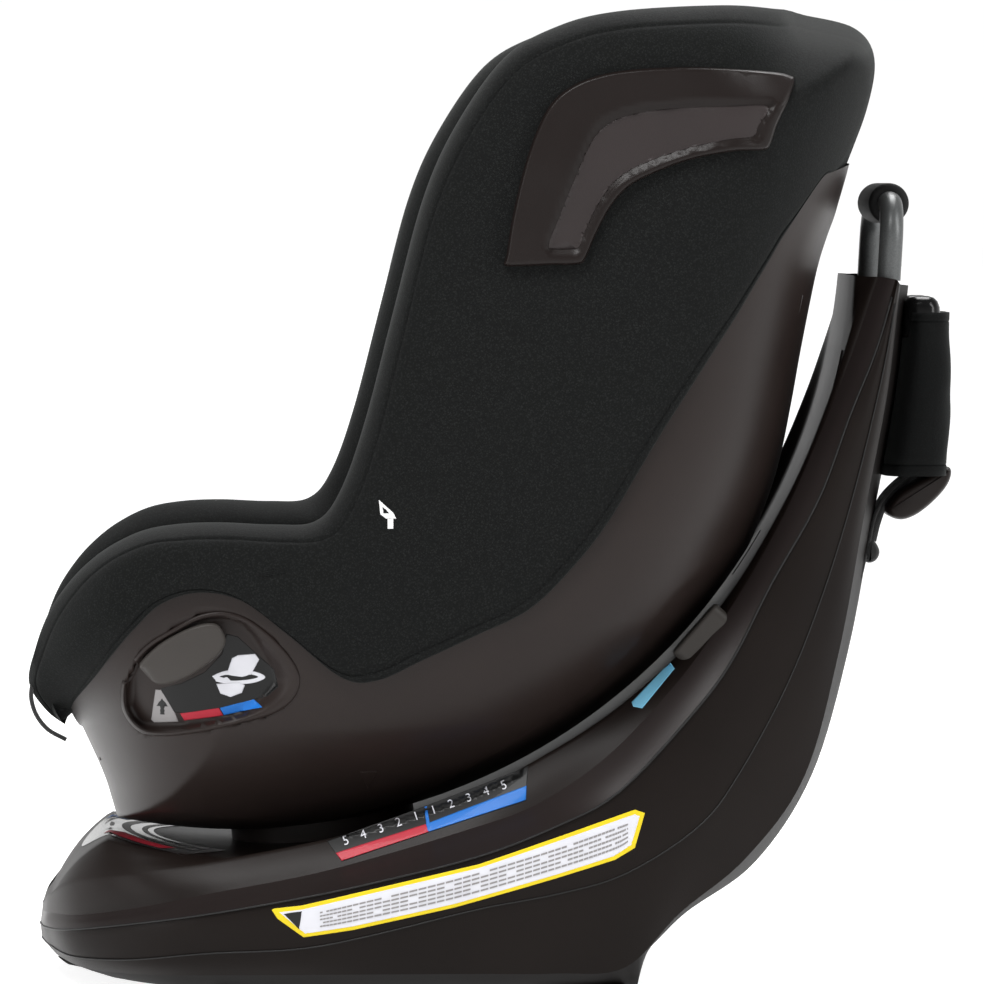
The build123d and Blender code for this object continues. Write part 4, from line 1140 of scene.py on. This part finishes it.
def head_seams(x, y, z):
    """Seams where the wings meet the middle of the headrest."""
    return groove(abs(y) - 96, 3.0, 3.0)


soft_pad("back_pad", "back_cushion", "seat", 6.0, 4.0, 9.0, back_seams, ["foam_liner"])
soft_pad("seat_pad", "seat_cushion", "seat", 6.0, 4.0, 9.0, seat_seams, tucked=True)
soft_pad("head_pad", "headrest", "headrest", 5.0, 4.0, 8.0, head_seams)

# ---------------------------------------------------------------- harness
STRAP_WIDTH = 37
SHOULDER_RUN = [(262, 2), (250, 11), (225, 14), (140, 14), (100, 14), (75, 14)]   # up the back, out of it
for side, tail in ((-1, "left"), (1, "right")):
    shoulder = [on_back(26 * side, up, out) for up, out in SHOULDER_RUN]
    shoulder += [on_back(25 * side, 62, 14), (-14, 24 * side, 335), (-38, 20 * side, 339),
                 (-50, 17 * side, 343)]
    piece = sweep(f"shoulder_strap_{tail}", shoulder, strap_section(STRAP_WIDTH, 1.9), (0, 1, 0), WEBBING,
                  "seat", "harness_straps" if side < 0 else None)
    lap = [(-56, 28 * side, 311), (-36, 66 * side, 297), (-16, 104 * side, 282), (-2, 136 * side, 271.5)]
    sweep(f"lap_strap_{tail}", lap, strap_section(STRAP_WIDTH, 1.9), (0.5, 0, 0.87), WEBBING, "seat")
    pad_path = [on_back(26 * side, up, 14.5) for up in (239, 232, 215, 198, 191)]
    pad_section = [(u * 25.0, v * 4.6) for u, v in superellipse(1, 1, 4.0, 24)]
    cushion = sweep(f"shoulder_pad_{tail}", pad_path, pad_section, (0, 1, 0), PAD_FABRIC, "seat",
                    "shoulder_pads" if side < 0 else None)
crotch = sweep("crotch_strap_skin", [(-84, 0, 291), (-90, 0, 284), (-95, 0, 276), (-98, 0, 268)],
               strap_section(STRAP_WIDTH, 2.2), (0, 1, 0), WEBBING, "seat", "crotch_strap")

# stems that join the headrest's lever to the headrest when it is squeezed up
for side in (-1, 1):
    top = np.array([159.0, 20.0 * side, 633.0])
    stem = [tuple(top - BACK_UP * drop) for drop in (0, 8, 16, 24)]
    sweep(f"lever_stem_{side + 1}", stem, round_section(3.0), (0, 1, 0), BLACK_PLASTIC, "headrest_lever")

# elastic loops that hold the cover's front edge
for side in (-1, 1):
    loop = [(-317, 118 * side, 207), (-317.5, 124 * side, 198), (-314, 128 * side, 187),
            (-306, 129 * side, 177), (-294, 126 * side, 170)]
    sweep(f"front_elastic_{side + 1}", loop, round_section(1.5), (0, 1, 0), WEBBING, "seat",
          "front_elastic" if side < 0 else None)


# ---------------------------------------------------------------- carried-over pieces
# CAD pieces that stay as they are; the others have a skin of their own above.
NODE_MATERIALS = {
    RUBBER: ["base_feet", "handle_grip"],
    HANDLE_STEEL: ["handle_tube"],
    STEEL: ["recline_rails", "recline_lock_rack", "turn_lock_plate", "recline_pawl", "seat_frame",
            "base_screws", "turn_lock_pin_left", "turn_lock_pin_right"],
    BLACK_PLASTIC: ["buckle", "chest_clip", "harness_adjuster", "headrest_lever"],
    GREY_PLASTIC: ["belt_guide_left", "belt_guide_right", "glide_blocks", "bearing_ring", "recline_handle"],
    BASE_PLASTIC: ["spine_front_panel", "sled_frame", "turning_ring"],
    RED_FILM: ["buckle_button", "adjuster_button"],
}
for material, names in NODE_MATERIALS.items():
    for name in names:
        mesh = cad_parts[name].data
        mesh.materials.clear()
        mesh.materials.append(material)


# ---------------------------------------------------------------- floor, light and camera
def area_light(name, place, target, size, power):
    """A soft square light that faces a point."""
    data = bpy.data.lights.new(name, "AREA")
    data.shape = "RECTANGLE"
    data.size, data.size_y = size
    data.energy = power
    light = bpy.data.objects.new(name, data)
    bpy.context.scene.collection.objects.link(light)
    light.location = place
    light.rotation_euler = (Vector(target) - Vector(place)).to_track_quat("-Z", "Y").to_euler()


def floor(half, grey, glow):
    """A wide floor that gives light of its own as well."""
    material, _, shader = node_material("floor", (grey, grey, grey), 0.7, specular=0.1)
    shader.inputs["Emission Color"].default_value = (1, 1, 1, 1)
    shader.inputs["Emission Strength"].default_value = glow
    mesh = bpy.data.meshes.new("floor")
    corners = [(-half, -half, 0), (half, -half, 0), (half, half, 0), (-half, half, 0)]
    mesh.from_pydata(corners, [], [(0, 1, 2, 3)])
    mesh.materials.append(material)
    sheet = bpy.data.objects.new("floor", mesh)
    bpy.context.scene.collection.objects.link(sheet)


# Name, place, aim, size and power of each light; lengths in metres.
LIGHTS = [
    ("key", (-0.9, -1.7, 3.0), (0, 0, 0.3), (1.2, 1.2), 105),
    ("overhead", (0.1, 1.3, 2.6), (0, 0, 0.2), (2.0, 1.4), 90),
    ("rim", (1.9, -0.9, 1.5), (0.1, 0, 0.35), (0.5, 1.6), 26),
    ("front", (-2.4, -1.2, 0.8), (-0.2, 0, 0.2), (0.8, 1.2), 14)]


def studio():
    """White floor and horizon, dimmer sky above, and four soft lights."""
    floor(40, 0.6, 0.85)
    world = bpy.data.worlds.new("studio")
    bpy.context.scene.world = world
    world.use_nodes = True
    nodes, links = world.node_tree.nodes, world.node_tree.links
    direction = nodes.new("ShaderNodeTexCoord")
    parts = nodes.new("ShaderNodeSeparateXYZ")
    links.new(direction.outputs["Generated"], parts.inputs[0])
    sky = color_ramp(world.node_tree, parts.outputs["Z"], (1, 1, 1), (0.3, 0.3, 0.3), 0.15, 0.5)
    links.new(sky.outputs["Color"], nodes["Background"].inputs["Color"])
    nodes["Background"].inputs["Strength"].default_value = 1.02
    for light in LIGHTS:
        area_light(*light)


SENSOR, VIEW_WIDTH, VIEW_MIDDLE = 36, 676, 336   # sensor, and the picture's width and middle height


def camera():
    """Long lens, a little in front of the seat's middle and above it."""
    data = bpy.data.cameras.new("camera")
    data.sensor_width = SENSOR
    data.lens = SENSOR / (VIEW_WIDTH * DRAWING_SCALE) * CAMERA_DISTANCE
    view = bpy.data.objects.new("camera", data)
    bpy.context.scene.collection.objects.link(view)
    view.location = (CAMERA_X * MM, -CAMERA_DISTANCE * MM, CAMERA_Z * MM)
    target = Vector((0, 0, (VIEW_MIDDLE * DRAWING_SCALE + DRAWING_DROP) * MM))
    view.rotation_euler = (target - view.location).to_track_quat("-Z", "Y").to_euler()
    bpy.context.scene.camera = view


studio()
camera()
bpy.context.scene.view_settings.view_transform = "Standard"
